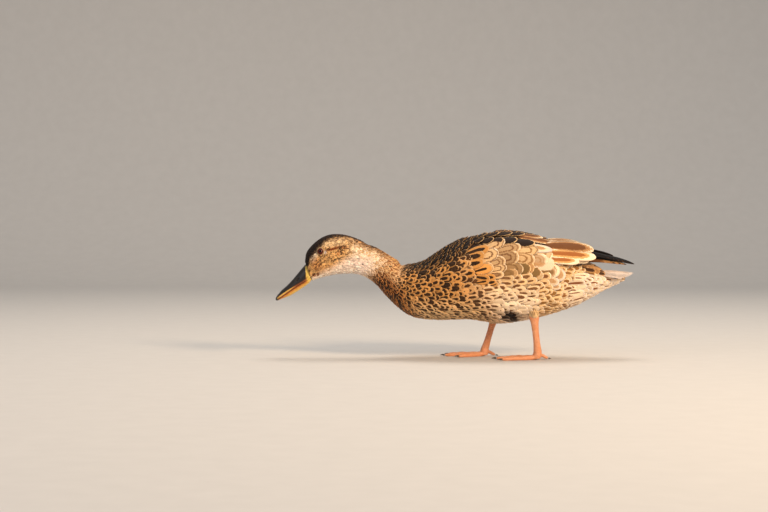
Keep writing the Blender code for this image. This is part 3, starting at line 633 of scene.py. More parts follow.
def feather_keratin(name, roughness, barb_depth):
    """The vane of a feather, drawn from the attributes leaf, barb, style, ground, mark and edge."""
    gloss = dict(Specular_IOR_Level=0.14, Sheen_Weight=0.03, Sheen_Roughness=0.5)
    material, add, shader = new_material(name, **gloss)
    ground, mark, edge = (add("Attribute", attribute_name=key) for key in ("ground", "mark", "edge"))
    # own is a number for each feather, along and across are millimetres, and the others are shares.
    (u, v, own), (along, across, rim), (bands, size, narrow) = (
        add("SeparateXYZ", add("Attribute", attribute_name=key).outputs["Vector"]).outputs
        for key in ("leaf", "barb", "style"))

    # Barbs: lines at 45 degrees to the shaft, and other ones on each feather.
    aside = add("Math", across, operation="ABSOLUTE")
    lines = add("CombineXYZ", add("Math", along, aside, operation="SUBTRACT"),
                add("Math", across, 0.12, operation="MULTIPLY"), add("Math", own, 57.0, operation="MULTIPLY"))
    fine = add("TexNoise", lines, Scale=1 / BARB_GAP, Detail=1.0)
    coarse = add("TexNoise", lines, Scale=0.7, Detail=2.0)

    # q, and the same with the sides drawn in for narrow marks.
    reach = add("Math", u, SHOULDER, operation="SUBTRACT")
    reach = add("Math", reach, 1 / (1 - SHOULDER), operation="MULTIPLY")
    reach = add("Math", add("Math", reach, 0.0, operation="MAXIMUM"), 2.0, operation="POWER")
    swell = add("Math", u, math.pi / 2 / SHOULDER, operation="MULTIPLY")
    swell = add("Math", add("Math", swell, math.pi / 2, operation="MINIMUM"), operation="SINE")
    swell = add("Math", swell, 0.6, 0.4, operation="MULTIPLY_ADD")
    wide = add("Math", add("Math", v, operation="ABSOLUTE"), swell, operation="DIVIDE")
    thin = add("Math", wide, narrow, operation="MULTIPLY")
    shake = add("Math", coarse.outputs[0], 0.34, -0.17, operation="MULTIPLY_ADD")
    squares = [add("Math", side, side, reach, operation="MULTIPLY_ADD") for side in (wide, thin)]
    q, drawn = (add("Math", add("Math", square, operation="SQRT"), shake) for square in squares)

    # The blot, the arcs and the rim.
    blot = add("Math", size, drawn, operation="SUBTRACT")
    blot = add("Math", blot, BLOT_EDGE, 0.5, operation="MULTIPLY_ADD", use_clamp=True)
    arcs = []
    for share in (1.0, 0.48):
        gap = add("Math", q, add("Math", size, share, operation="MULTIPLY"), operation="SUBTRACT")
        gap = add("Math", gap, operation="ABSOLUTE")
        arcs.append(add("Math", gap, -ARC_EDGE, 1.3, operation="MULTIPLY_ADD", use_clamp=True))
    drawing = add("Mix", bands, None, blot, add("Math", *arcs, operation="MAXIMUM"))
    depth = add("Math", fine.outputs[0], 0.5, 0.72, operation="MULTIPLY_ADD")
    drawing = add("Math", drawing.outputs[0], depth, operation="MULTIPLY", use_clamp=True)
    margin = add("Math", add("Math", q, rim), 1.0, operation="SUBTRACT")
    margin = add("Math", margin, RIM_EDGE, 0.3, operation="MULTIPLY_ADD", use_clamp=True)
    colour = add("MixRGB", margin, add("MixRGB", drawing, ground, mark), edge)

    # The shaft is a fine darker line, and each barb is a little lighter or darker than the next.
    shaft = add("Math", aside, -5.0, 0.9, operation="MULTIPLY_ADD", use_clamp=True)
    shaft = add("Math", shaft, 0.35, operation="MULTIPLY")
    colour = add("MixRGB", shaft, colour, (*COLOURS["umber"], 1))
    light = add("Math", fine.outputs[0], 0.55, 0.74, operation="MULTIPLY_ADD")
    colour = add("MixRGB", 1.0, colour, add("CombineXYZ", light, light, light), blend_type="MULTIPLY")
    rough = add("Math", fine.outputs[0], 0.2, roughness - 0.1, operation="MULTIPLY_ADD")
    ridge = add("Math", shaft, 0.8, fine.outputs[0], operation="MULTIPLY_ADD")
    bump = add("Bump", Strength=0.5, Distance=barb_depth, Height=ridge)
    wire(shader, Base_Color=colour, Roughness=rough, Normal=bump)
    return material


contour_keratin = feather_keratin("contour_feather_keratin", 0.66, 0.00012)
print("contour feathers:", len(contour_keratin.node_tree.nodes), "nodes")

# %% [markdown]
# ## From corners to a coat piece
#
# The corners of many feathers become one mesh. Each corner carries its place in its own feather, each
# feather its colours, and each has its own small cell in the map OFBake, in the order of the roots along
# and round the skin, so that a baked texture keeps the feathers apart.

# %% What the corners carry, and what every finished piece gets
def keep_values(mesh, name, values, kind="FLOAT_VECTOR"):
    """Gives each corner of a mesh three numbers, a colour or one number, for its material to read."""
    field = {"FLOAT_VECTOR": "vector", "FLOAT_COLOR": "color", "FLOAT": "value"}[kind]
    if kind == "FLOAT_COLOR":
        values = np.column_stack([values, np.ones(len(values))])
    mesh.attributes.new(name, kind, "POINT").data.foreach_set(field, values.ravel())


def finish_piece(item, slot, *replaced, material=None):
    """Smooth faces, a material, the body it rides, and the CAD nodes that it stands in for; slot is not used.
    """
    if material:
        item.data.materials.append(material)
    item.data.shade_smooth()
    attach(item, "root")
    if replaced:
        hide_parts(*replaced)


def feather_values(vane, at, s, turn, length, width, marks):
    """The values at the corners of a group of feathers, by name."""
    count, size = at.shape[:2]
    spread = lambda value: np.repeat(value, size, axis=0)
    u, v, own = np.tile(vane.u, count), np.tile(vane.edge(), count), random.random(count)
    length, width = np.broadcast_to(length, count), np.broadcast_to(width, count)
    values = {
        "leaf": [u, v, spread(own)],
        "barb": [u * spread(length), v * spread(width / 2), spread(marks["rim"])],
        "style": [spread(marks[key]) for key in ("bands", "size", "narrow")],
        "cell": [spread(s), spread(turn), u, v],
    }
    values = {key: np.stack(value, axis=1) for key, value in values.items()}
    for key in ("ground", "mark", "edge"):
        shade = 1 + 0.10 * random.standard_normal(count)[:, None]
        values[key] = spread(np.clip(marks[key] * shade, 0, 1))
    return values


print("each corner of a feather carries leaf, barb, style, ground, mark and edge")

# %% Joining feathers into a piece
CELL_FILL = 0.86        # share of a cell that its feather fills


def bake_cells(s, turn, cells):
    """The corner of each feather's cell: columns in the order of s, and rows in the order of turn."""
    order = np.argsort(s, kind="stable")
    column, row = np.empty(len(s), int), np.empty(len(s), int)
    column[order] = np.arange(len(s)) // cells
    for k in range(column.max() + 1):
        inside = np.flatnonzero(column == k)
        row[inside[np.argsort(turn[inside], kind="stable")]] = np.arange(len(inside))
    return np.stack([column, row], axis=1) / cells


def feather_piece(name, groups, material, slot, *replaced):
    """One mesh of the feathers in all groups; a group is a vane, corner places, roots, sizes and markings."""
    values = [feather_values(*group) for group in groups]
    values = {key: np.concatenate([each[key] for each in values]) for key in values[0]}
    faces, base = [], 0
    for vane, at, *_ in groups:
        count, size = at.shape[:2]
        faces += [np.array(face) + base + size * np.arange(count)[:, None] for face in vane.faces]
        base += count * size
    loops = np.concatenate([ids.ravel() for ids in faces])
    sizes = np.concatenate([np.full(len(ids), ids.shape[1]) for ids in faces])
    mesh = bpy.data.meshes.new(name)
    mesh.vertices.add(base)
    mesh.vertices.foreach_set("co", np.concatenate([group[1].ravel() for group in groups]) * MM)
    mesh.loops.add(len(loops))
    mesh.loops.foreach_set("vertex_index", loops)
    mesh.polygons.add(len(sizes))
    mesh.polygons.foreach_set("loop_start", np.cumsum(sizes) - sizes)
    mesh.update(calc_edges=True)
    for key in ("leaf", "barb", "style"):
        keep_values(mesh, key, values[key])
    for key in ("ground", "mark", "edge"):
        keep_values(mesh, key, values[key], "FLOAT_COLOR")
    s, turn, u, v = values["cell"].T
    roots, own_root = np.unique(np.stack([s, turn], axis=1), axis=0, return_inverse=True)
    cells = math.ceil(math.sqrt(len(roots)))
    inside = np.stack([v / 2 + 0.5, u], axis=1)
    spots = bake_cells(*roots.T, cells)[own_root.ravel()] + ((inside - 0.5) * CELL_FILL + 0.5) / cells
    mesh.uv_layers.new(name="OFBake").data.foreach_set("uv", spots[loops].ravel())
    finish_piece(new_object(name, mesh), slot, *replaced, material=material)
    count = sum(len(group[2]) for group in groups)
    print(name + ":", count, "feathers,", int((sizes - 2).sum()), "triangles")


print("cells of four roots:", bake_cells(np.array([3.0, 1.0, 2.0, 4.0]), np.zeros(4), 2).tolist())

# %% [markdown]
# ## The contour coat
#
# Small feathers first: they are strewn at random but evenly, closest together on the face and widest apart
# over the trunk, as on the bird. Rows would be simpler, but they show as rows. Where the broad feathers of
# the back and flanks will lie on top, the small ones are laid a little lower, as a lining that lets no gap
# show.

# %% How far apart the roots lie
SPACING = (      # s, mm
    (0, 0.72), (16, 0.85), (34, 1.05), (60, 1.6), (90, 2.4), (112, 3.2), (135, 4.2), (170, 4.7), (220, 5.2),
    (300, 5.4), (340, 5.0), (380, 3.6))
BROAD_LOW, BROAD_DEPTH = 84.0, 1.7       # mm: where broad feathers start, and how far they push down


def spacing_at(place):
    ring = np.interp(place[:, 0], spine_middle[:, 0], spine_s)
    return np.interp(ring, *zip(*SPACING))


def under_broad(place):
    """1 where broad feathers cover the small ones."""
    x, z = place[..., 0], place[..., 2]
    return rising(x, 6, 20) * (1 - rising(x, 112, 126)) * rising(z, BROAD_LOW - 4, BROAD_LOW + 4)


ends = spacing_at(coat_guide.place(spine_s[[10, -10]], np.zeros(2)))
print("roots lie", ends.round(2), "mm apart near the ends")

# %% One group of contour feathers
CLUMP, CLUMP_END = 1.9, (55, 90)                       # mm, and the s between which clumps fade out


def contour_group(vane, s, turn, stretch, breadth, lift, thick):
    """Feathers whose length and width follow the spacing at their roots."""
    gap = spacing_at(coat_guide.place(s, turn))
    length = gap * stretch * random.uniform(0.86, 1.14, len(s))
    width = gap * breadth * random.uniform(0.9, 1.1, len(s))
    raise_by = random.uniform(-0.1, 0.1, len(s)) * np.clip(gap / 3, 0.4, 1)
    raise_by -= BROAD_DEPTH * under_broad(coat_guide.place(s + 0.7 * length, turn))
    at = lay(coat_guide, vane, s, turn, length, width, down=random.normal(0, 7, len(s)), lift=lift,
             thick=thick, roll=random.normal(0, 0.05, len(s)), raise_by=raise_by, sink=0.33 * gap)
    heart = at[:, vane.u > 0.5].mean(axis=1)
    by_s = coat_guide.slopes(s, turn)[0]
    marks = markings_at(heart, s + 0.6 * length / np.linalg.norm(by_s, axis=1), turn)
    marks["size"] *= random.normal(1, 0.22, len(s)) * (random.random(len(s)) > 0.3 * (marks["size"] < 0.45))
    marks["narrow"] *= random.normal(1, 0.15, len(s))
    # Where feathers are finest they are marked by the clump, so that the speckles keep their size.
    _, clump = np.unique(np.floor(heart / CLUMP), axis=0, return_inverse=True)
    clump = random.normal(0, 1, clump.max() + 1)[clump.ravel()] * (1 - rising(s, *CLUMP_END))
    marks["size"] *= np.clip(1 + 0.5 * clump, 0, 1.6)
    for key in ("ground", "edge"):
        marks[key] *= np.clip(1 - 0.2 * clump, 0.5, 1.4)[:, None]
    return vane, at, s, turn, length, width, marks


HEAD_END, NECK_END, BREAST_END, BODY_END = 52.0, 104.0, 176.0, 292.0
TRACTS = (      # vane, first and last s, length and width against the spacing, lift of the tip, thickness
    ("coat_head", TINY, 0.5, HEAD_END, 4.1, 1.95, 0.07, 0.07),
    ("coat_neck", SMALL, HEAD_END, NECK_END, 3.5, 1.95, 0.12, 0.11),
    ("coat_breast", MEDIUM, NECK_END, BREAST_END, 2.8, 1.85, 0.16, 0.14),
    ("coat_body", MEDIUM, BREAST_END, BODY_END, 2.9, 1.9, 0.18, 0.16),
    ("coat_rump", MEDIUM, BODY_END, spine_s[-1] - 5, 2.9, 1.85, 0.18, 0.16),
)
for name, vane, first, last, *shape in TRACTS:
    s, turn = scattered(coat_guide, spacing_at, (first, last), (0, 360))
    feather_piece(name, [contour_group(vane, s, turn, *shape)], contour_keratin, "plumage")

# %% [markdown]
# ## Broad feathers of the back and flanks
#
# The scapulars grow from the shoulder and lie over the folded wing: two rows of near-black ovals with thin
# straw edges, each larger than the one before, and a few long brown ones behind. Below them the flank
# feathers come up over the wing's edge in rows, tan and cream, with brown arcs inside arcs. They could be
# strewn like the small ones, but each is large enough to be noticed. They are given places one by one, seen
# from the side, and the guide says how far out and at which turn each lies.

# %% From a place seen from the side to s and turn
class SideView:
    """Finds where on a guide's left side a place seen from her left lies."""

    def __init__(self, guide):
        s, turn = np.meshgrid(np.arange(1, spine_s[-1] - 1, 1.0), np.arange(1, 180, 1.0), indexing="ij")
        self.s, self.turn = s.ravel(), turn.ravel()
        self.places = guide.place(self.s, self.turn)

    def find(self, x, z):
        gap = np.hypot(self.places[:, 0] - x, self.places[:, 2] - z)
        best = int(gap.argmin())
        return self.s[best], self.turn[best]


coat_side = SideView(coat_guide)
SIDES = {"l": -1.0, "r": 1.0}            # the sign of y on her left and right
HEART = 0.58                             # how far along a broad feather its visible middle lies
print("x 60, z 110 lies at s and turn", coat_side.find(60, 110))

# %% Places and sizes of the broad feathers, in millimetres
SCAPULARS = (      # x, z, length, width
    (26, 137.6, 14, 9.0), (35.5, 137.6, 16, 10.5), (46, 137.4, 19, 11.5), (59, 137.0, 25, 13.0),
    (76, 135.2, 32, 13.5),
    (30, 143.0, 17, 9.0), (42, 144.2, 19, 9.5), (54, 145.0, 23, 10.0), (67, 144.6, 28, 10.5),
)
LONG_SCAPULARS = (     # brown ones, reaching back over the tertials, the pale-edged lower one first
    (93, 128.5, 40, 13.0), (84, 143.0, 40, 11.0), (93, 138.5, 48, 12.5),
)
FLANK_ROWS = (      # middles of the first and last feather, number, lengths and widths at both ends
    ((26, 127.5), (104, 124.0), 5, (30, 36), (18, 22)),
    ((12, 120.0), (108, 115.0), 6, (28, 38), (18, 25)),
    ((4, 112.0), (112, 106.0), 8, (23, 32), (13, 21)),
    ((8, 104.0), (116, 98.5), 8, (20, 27), (11, 17)),
    ((14, 96.5), (116, 92.0), 10, (16, 20), (8.5, 13)),
    ((22, 89.5), (110, 86.5), 10, (14, 16), (7.5, 10)),
)


def spread_rows(rows):
    """Every feather of the rows, each row shifted half a step against the last."""
    made = []
    for k, (first, last, count, lengths, widths) in enumerate(rows):
        for i in range(count):
            t = (i + 0.5 * (k % 2)) / (count - 0.5)
            made.append([a + (b - a) * t for a, b in (*zip(first, last), lengths, widths)])
    return made


flank = spread_rows(FLANK_ROWS)
print(len(SCAPULARS) + len(LONG_SCAPULARS), "scapulars and", len(flank), "flank feathers on each side")

# %% Their markings
def flank_markings(x, z):
    """Arcs inside arcs above, dark blots towards the breast, plain tan hearts towards the rump."""
    made = Markings(len(x))
    made.lay(np.ones(len(x)), ground="straw", mark="bronze", edge="cream", bands=1.0, size=0.76, narrow=1.0,
             rim=0.10)
    made.lay(1 - rising(x, 52, 84), mark="brown", size=0.80)
    made.lay(patch(x, z, (98, 110), (16, 14)), ground="cream", mark="tan", bands=0.4, size=0.62, rim=0.12)
    made.lay(patch(x, z, (70, 104), (14, 6)), ground="tan", mark="olive", edge="straw", bands=0.1, size=0.74)
    made.lay(patch(x, z, (92, 100), (12, 6)), ground="tan", mark="olive", edge="cream", bands=0.1, size=0.66)
    made.lay(1 - rising(z, 92, 101), ground="straw", mark="brown", bands=0.0, size=0.54, narrow=1.6, rim=0.14)
    front = 1 - rising(x + 0.35 * (z - 100) + random.normal(0, 3, len(x)), 37, 42)
    made.lay(front, ground="gold", mark="dark", edge="straw", bands=0.0, size=0.60, narrow=1.7, rim=0.08)
    made.lay(rising(x, 100, 112), ground="cream", mark="tan", edge="pale", bands=0.3, size=0.6, rim=0.2)
    made.value["size"] *= random.normal(1, 0.14, len(x))
    made.value["bands"] *= random.uniform(0.45, 1.0, len(x))
    return made.value


def scapular_markings(x, z, plain):
    """Near-black ovals with straw rims, or brown feathers that are pale below."""
    made = Markings(len(x))
    made.lay(np.ones(len(x)), ground="umber", mark="dark", edge="straw", size=0.9, narrow=1.0, rim=0.12)
    made.lay(rising(x, 62, 80) * rising(z, 139, 142), ground="umber", mark="dark", edge="straw", size=0.8)
    made.lay(np.full(len(x), plain), ground="tan", mark="brown", edge="cream", size=0.66, narrow=1.2,
             rim=0.16)
    made.lay(plain * (1 - rising(z, 130, 136)), ground="cream", mark="tan", edge="pale", size=0.5, rim=0.24)
    return made.value


print("a scapular's blot fills", scapular_markings(np.array([60.0]), np.array([137.0]), 0.0)["size"].round(2))

# %% Laying them on both sides
def broad_group(side, rows, marks, raise_by, down, shaken):
    """Feathers given by the side-view place of their middles, their length and their width."""
    length, width = np.array(rows).T[2:]
    s, turn = np.array([coat_side.find(*row[:2]) for row in rows]).T
    s = s - HEART * length / np.linalg.norm(coat_guide.slopes(s, turn)[0], axis=1)
    turn = turn if side < 0 else 360 - turn
    s, turn = (value + random.normal(0, shaken, len(rows)) for value in (s, turn))
    length, width = (value * random.normal(1, 0.03 * shaken, len(rows)) for value in (length, width))
    down = down + random.normal(0, 4 * shaken, len(rows))
    raise_by = raise_by + random.uniform(-0.1, 0.1, len(rows))
    at = lay(coat_guide, BROAD, s, turn, length, width, down=down, sink=2.2, lift=0.5, cup=0.16,
             raise_by=raise_by, thick=0.3, ragged=0.03)
    return BROAD, at, s, turn, length, width, marks


SCAPULAR_RISE = np.interp(np.array(SCAPULARS)[:, 2], (14, 28), (0.5, 1.1))       # the longer, the further out
for tag, side in SIDES.items():
    layers = (      # feathers, markings, how far out they lie, lean in degrees, unevenness
        (flank, flank_markings(*np.array(flank).T[:2]), 0.1, -2.0, 2.0),
        (LONG_SCAPULARS, scapular_markings(*np.array(LONG_SCAPULARS).T[:2], 1.0), 0.9, 2.0, 0.4),
        (SCAPULARS, scapular_markings(*np.array(SCAPULARS).T[:2], 0.0), SCAPULAR_RISE, 0.0, 0.4),
    )
    groups = [broad_group(side, *layer) for layer in layers]
    feather_piece(f"broad_feathers_{tag}", groups, contour_keratin, "plumage")


# %% [markdown]
# ## Wings and tail
#
# A folded wing shows few of its feathers: broad tertials that cover the rest, a point of long primaries
# that sticks out over the rump, and the tail's fan under it. They are stiff flight feathers with a strong
# shaft, so they don't follow the body as the small ones do, and laying them on the guide would bend them.
# Each one is a straight or slightly arched blade from its root to its tip, and lies a fraction of a
# millimetre outside the one it covers. What they hide is left to the base made for the wing below.

# %% Straight feathers from a root to a tip
BLADE_STEP, ROOT_SINK = 0.28, 1.6        # mm outwards from one blade to the next, and inwards at the root


def blades(vane, root, tip, width, face, arch, cup, bow=0.0, thick=0.35, ragged=0.012):
    """Corner places of stiff feathers; face is the way outwards, arch bends them outwards and bow upwards."""
    root, tip, face = (np.atleast_2d(np.asarray(value, float)) for value in (root, tip, face))
    along = tip - root
    across = unit(np.cross(face, along))
    out = unit(np.cross(along, across))
    width = np.broadcast_to(np.asarray(width, float), len(root))[:, None]
    edge = vane.edge() * (1 + ragged * random.standard_normal((len(root), len(vane.u))))
    rise = 4 * arch * vane.u * (1 - vane.u) - cup * width / 2 * edge**2 - thick * vane.under
    aside = edge * width / 2
    bend = np.outer(4 * vane.u * (1 - vane.u), (0, 0, bow))
    middle = root[:, None] + along[:, None] * vane.u[:, None] + bend
    return middle + across[:, None] * aside[..., None] + out[:, None] * rise[..., None]


def plain_marks(count, **values):
    made = Markings(count)
    made.lay(np.ones(count), **values)
    return made.value


wing_keratin = feather_keratin("flight_feather_keratin", 0.50, 0.00010)
tail_keratin = feather_keratin("tail_feather_keratin", 0.55, 0.00010)
print("stiff feathers:", wing_keratin.name, "and", tail_keratin.name)

# %% The wing's long feathers, from the innermost layer outwards, as they lie on her left
WING_FEATHERS = {      # number, first root, last root, first tip, last tip, widths, vane, arch, bow, markings
    "inner primaries": (
        3, (118, -21, 112.5), (112, -23, 113), (197, -13.5, 108.6), (184, -16, 109.6), (7.0, 7.5),
        POINTED, 1.2, 3.6, dict(ground="tan", mark="brown", edge="umber", size=0.5, rim=0.10)),
    "primaries": (
        6, (122, -17.5, 117.5), (112, -23, 118), (206, -12, 108.6), (176, -18, 114.8), (8.5, 9.0),
        POINTED, 1.4, 4.4, dict(ground="black", mark="black", edge="umber", size=0.95, rim=0.05)),
    "secondaries": (
        4, (104, -38, 112.5), (98, -36, 116), (152, -25.5, 111.5), (146, -27.5, 112.0), (10, 11),
        LONG, 1.2, 1.0, dict(ground="tan", mark="umber", edge="cream", size=0.50, narrow=1.1, rim=0.30)),
    "lower tertials": (
        2, (92, -43.0, 114.0), (96, -39.5, 121.0), (140, -34.5, 110.6), (160, -24.0, 115.4), (13, 15.5),
        LONG, 1.4, 0.6, dict(ground="buff", mark="rufous", edge="cream", size=0.56, narrow=1.4, rim=0.28)),
    "upper tertials": (
        3, (104, -15.0, 133.5), (98, -31.0, 128.5), (147, -11.0, 127.0), (158, -18.5, 123.2), (12, 15.5),
        LONG, 1.6, 1.2, dict(ground="tan", mark="brown", edge="cream", size=0.68, narrow=1.05, rim=0.13)),
}
WING_FACE = (0.05, 0.8, 0.6)                        # y outwards
RIGHT_SHIFT = ((-8, 0, 2), (-21, 0, 9))             # how root and tip of the other wing's primaries differ


def wing_groups(side):
    groups, layer = [], 0
    for name, (count, root0, root1, tip0, tip1, widths, vane, arch, bow, marks) in WING_FEATHERS.items():
        t = np.linspace(0, 1, count)[:, None]
        root, tip = (np.array(a) + (np.array(b) - a) * t for a, b in ((root0, root1), (tip0, tip1)))
        width = np.interp(t[:, 0], (0, 1), widths)
        if side > 0 and "primaries" in name:
            root, tip = root + RIGHT_SHIFT[0], tip + RIGHT_SHIFT[1]
        face = np.array(WING_FACE) * (1, side, 1)
        out = face * BLADE_STEP * (layer + np.arange(count))[:, None]
        root, tip = root * (1, -side, 1) + out - ROOT_SINK * face, tip * (1, -side, 1) + out
        layer += count
        at = blades(vane, root, tip, width, np.tile(face, (count, 1)), arch, 0.16, bow)
        s = np.interp(root[:, 0], spine_middle[:, 0], spine_s)
        turn = (60 + 8 * np.arange(count)) * -side % 360
        length = np.linalg.norm(tip - root, axis=1)
        groups.append((vane, at, s, turn, length, width, plain_marks(count, **marks)))
    return groups


for tag, side in SIDES.items():
    feather_piece(f"wing_feathers_{tag}", wing_groups(side), wing_keratin, "wing_feathers")

# %% The tail's fan, its middle pair on top
RECTRICES, FAN_SPREAD, FAN_WIDTH = 18, 33.0, 11.5                   # number; degrees; mm
FAN_MIDDLE, FAN_ROOT, ROOT_SHARE = (156.0, 0.0), 162.0, 0.32      # where it turns; the roots' x and spread
ROOT_HEIGHT, ROOT_FALL, ROOT_STEP, TIP_STEP = 101.2, 0.05, 0.14, 0.10     # mm; steps are between neighbours
ROOT_DROP, TIP_DROP = 1.2, 0.3                                            # mm, of the outermost ones
FAN = ((0.0, 51.0, 97.6), (16.0, 48.0, 96.0), (33.0, 41.5, 93.0))    # degrees, reach and height of the tip
order = np.arange(RECTRICES) - (RECTRICES - 1) / 2
order = order[np.argsort(-np.abs(order), kind="stable")]               # from the outside in
angle = order / np.abs(order).max() * FAN_SPREAD
reach, tip_z = (np.interp(np.abs(angle), [row[0] for row in FAN], [row[k] for row in FAN]) for k in (1, 2))
way = np.stack([np.cos(np.radians(angle)), np.sin(np.radians(angle))], 1)
tip = np.column_stack([np.array(FAN_MIDDLE) + way * reach[:, None], tip_z])
root_z = ROOT_HEIGHT - ROOT_FALL * np.abs(angle)
root = np.column_stack([np.full(RECTRICES, FAN_ROOT), tip[:, 1] * ROOT_SHARE, root_z])
root[:, 2] += ROOT_STEP * np.arange(RECTRICES) - ROOT_DROP
tip[:, 2] += TIP_STEP * np.arange(RECTRICES) - TIP_DROP
face = np.column_stack([np.full(RECTRICES, 0.1), np.sin(np.radians(angle)) * 0.5, np.ones(RECTRICES)])
marks = plain_marks(RECTRICES, ground="pale", mark="straw", edge="pale", bands=0.5, size=0.45, narrow=1.5,
                    rim=0.24)
middle = 1 - rising(np.abs(angle), 2, 14)
for key, colour in (("ground", "tan"), ("mark", "umber")):
    marks[key] += (COLOURS[colour] - marks[key]) * middle[:, None] * 0.5
at = blades(TAIL, root, tip, FAN_WIDTH, face, 0.8, 0.10)
length = np.linalg.norm(tip - root, axis=1)
fan = (TAIL, at, 300 + 2 * np.abs(angle), 180 + 5 * angle, length, FAN_WIDTH, marks)
feather_piece("tail_feathers", [fan], tail_keratin, "tail_feathers", "tail")

# %% The tail's coverts: dark ones above, and long pale ones below that reach far under the fan
COVERTS = {     # spacing, range of s, range of turn, length, width, markings
    "uppertail_coverts": (5.0, (322, 358), (-70, 70), 19, 9.0,
                          dict(ground="tan", mark="umber", edge="buff", size=0.70, narrow=1.3, rim=0.16)),
    "undertail_coverts": (5.2, (312, 356), (84, 276), 23, 8.5,
                          dict(ground="cream", mark="rust", edge="pale", size=0.58, narrow=2.4, rim=0.20)),
}
for name, (gap, s_range, turn_range, length, width, marks) in COVERTS.items():
    s, turn = scattered(coat_guide, lambda place: np.full(len(place), gap), s_range, turn_range)
    marks = plain_marks(len(s), **marks)
    marks["size"] *= random.normal(1, 0.25, len(s)) * (random.random(len(s)) > 0.25)
    at = lay(coat_guide, MEDIUM, s, turn, length, width, down=random.normal(0, 4, len(s)), sink=1.2, lift=0.5,
             cup=0.15, raise_by=random.uniform(0.3, 0.7, len(s)), thick=0.2, ragged=0.03)
    feather_piece(name, [(MEDIUM, at, s, turn, length, width, marks)], contour_keratin, "plumage")

# %% [markdown]
# ## Skin, wing bases and legs
#
# Under her feathers the skin is one sheet from the bill to the feet. The CAD body is parted into nodes with
# thin cuts, so copies of them are remeshed into one closed surface, which is then drawn in under the coat
# by the coat's own depth: 0.6 mm on the face and over 2 mm on the body. The skin takes the same colours as
# the feathers above it, so that no gap between them can flash. Only its legs are bare, so they get a finer
# remesh and a relief of small scales before a union joins them to the body. The hidden part of each folded
# wing is the CAD wing, drawn in like the skin.

# %% Where a place lies in the guide's own coordinates
spine_ahead = np.cross(spine_up, (0.0, -1.0, 0.0))


def ring_coordinates(places):
    """s, turn and distance from the spine of places in or on the body."""
    found = []
    for part in np.array_split(places, max(1, len(places) // 4000)):
        offset = part[:, None] - spine_middle
        ahead = (offset * spine_ahead).sum(-1)
        k = (np.abs(ahead) + 0.2 * np.linalg.norm(offset, axis=-1)).argmin(axis=1)
        up, ahead = (values[np.arange(len(part)), k] for values in ((offset * spine_up).sum(-1), ahead))
        turn = np.degrees(np.arctan2(-part[:, 1], up)) % 360
        found.append(np.stack([spine_s[k] + ahead, turn, np.hypot(up, part[:, 1])]))
    return np.concatenate(found, axis=1)


probe = ring_coordinates(np.array([[60.0, -40.0, 100.0]]))
print("s, turn and distance of a place on her left side:", probe.ravel().round(1))

# %% Moving corners, and modifiers
def places_of(item):
    """The corners of a mesh, in millimetres."""
    flat = np.empty(len(item.data.vertices) * 3)
    item.data.vertices.foreach_get("co", flat)
    return flat.reshape(-1, 3) / MM


def set_places(item, places):
    item.data.vertices.foreach_set("co", (places * MM).ravel())
    item.data.update()


def apply_modifier(item, kind, **settings):
    """Adds a modifier, sets it and applies it."""
    made = item.modifiers.new(kind.lower(), kind)
    for name, value in settings.items():
        setattr(made, name, value)
    bpy.context.view_layer.objects.active = item
    bpy.ops.object.modifier_apply(modifier=made.name)


def remesh(item, voxel, smoothing=0):
    """Rebuilds a piece as one closed surface with faces of even size, given in mm, and smooths its facets."""
    select_only(item)
    apply_modifier(item, "REMESH", mode="VOXEL", voxel_size=voxel * MM)
    if smoothing:
        apply_modifier(item, "SMOOTH", factor=0.5, iterations=smoothing)


COAT_DEPTH = ((0, 0.6), (40, 0.9), (70, 1.5), (110, 2.3), (330, 2.3), (380, 1.2))       # s, mm
WING_DEPTH = ((0, 3.0), (380, 3.0))


def draw_under(item, guide, depth):
    """Moves the corners of a piece that stand too far out to a depth below the guide."""
    places = places_of(item)
    s, turn, far = ring_coordinates(places)
    middle = np.stack([np.interp(s, spine_s, spine_middle[:, k]) for k in range(3)], axis=1)
    room = np.linalg.norm(guide.place(s, turn) - middle, axis=1) - np.interp(s, *zip(*depth))
    share = np.minimum(room / np.maximum(far, 0.01), 1.0)
    inside = (s > 0) & (s < spine_s[-1]) & (far > room)
    places[inside] = middle[inside] + (places - middle)[inside] * share[inside, None]
    set_places(item, places)
    print(item.name + ":", int(inside.sum()), "of", len(places), "corners drawn in")


def colour_like_coat(item):
    """Gives a piece the coat's colours at each of its corners, half way to the mark where marks are large."""
    places = places_of(item)
    s, turn, _ = ring_coordinates(places)
    marks = markings_at(places, s, turn)
    dark = 0.5 * marks["size"][:, None]
    keep_values(item.data, "ground", marks["ground"] * (1 - dark) + marks["mark"] * dark, "FLOAT_COLOR")


print("skin lies", COAT_DEPTH[0][1], "to", max(row[1] for row in COAT_DEPTH), "mm under the coat")

# %% Plumage skin: soft and thin, matt and mottled with down, and dimpled where each quill sits
DIMPLE, MOTTLE = 3 * MM, 4 * MM
plumage_skin, add, shader = new_material("plumage_skin", Specular_IOR_Level=0.2)
place = add("TexCoord").outputs["Object"]
mottle = add("TexNoise", place, Scale=1 / MOTTLE, Detail=3.0).outputs[0]
grey = add("Math", mottle, 0.5, 0.5, operation="MULTIPLY_ADD")
ground = add("Attribute", attribute_name="ground")
colour = add("MixRGB", 1.0, ground, add("CombineXYZ", grey, grey, grey), blend_type="MULTIPLY")
rough = add("Math", mottle, 0.2, 0.7, operation="MULTIPLY_ADD")
bump = add("Bump", Strength=0.4, Distance=0.3 * MM, Height=add("TexVoronoi", place, Scale=1 / DIMPLE))
wire(shader, Base_Color=colour, Roughness=rough, Normal=bump)
print("plumage skin:", len(plumage_skin.node_tree.nodes), "nodes")

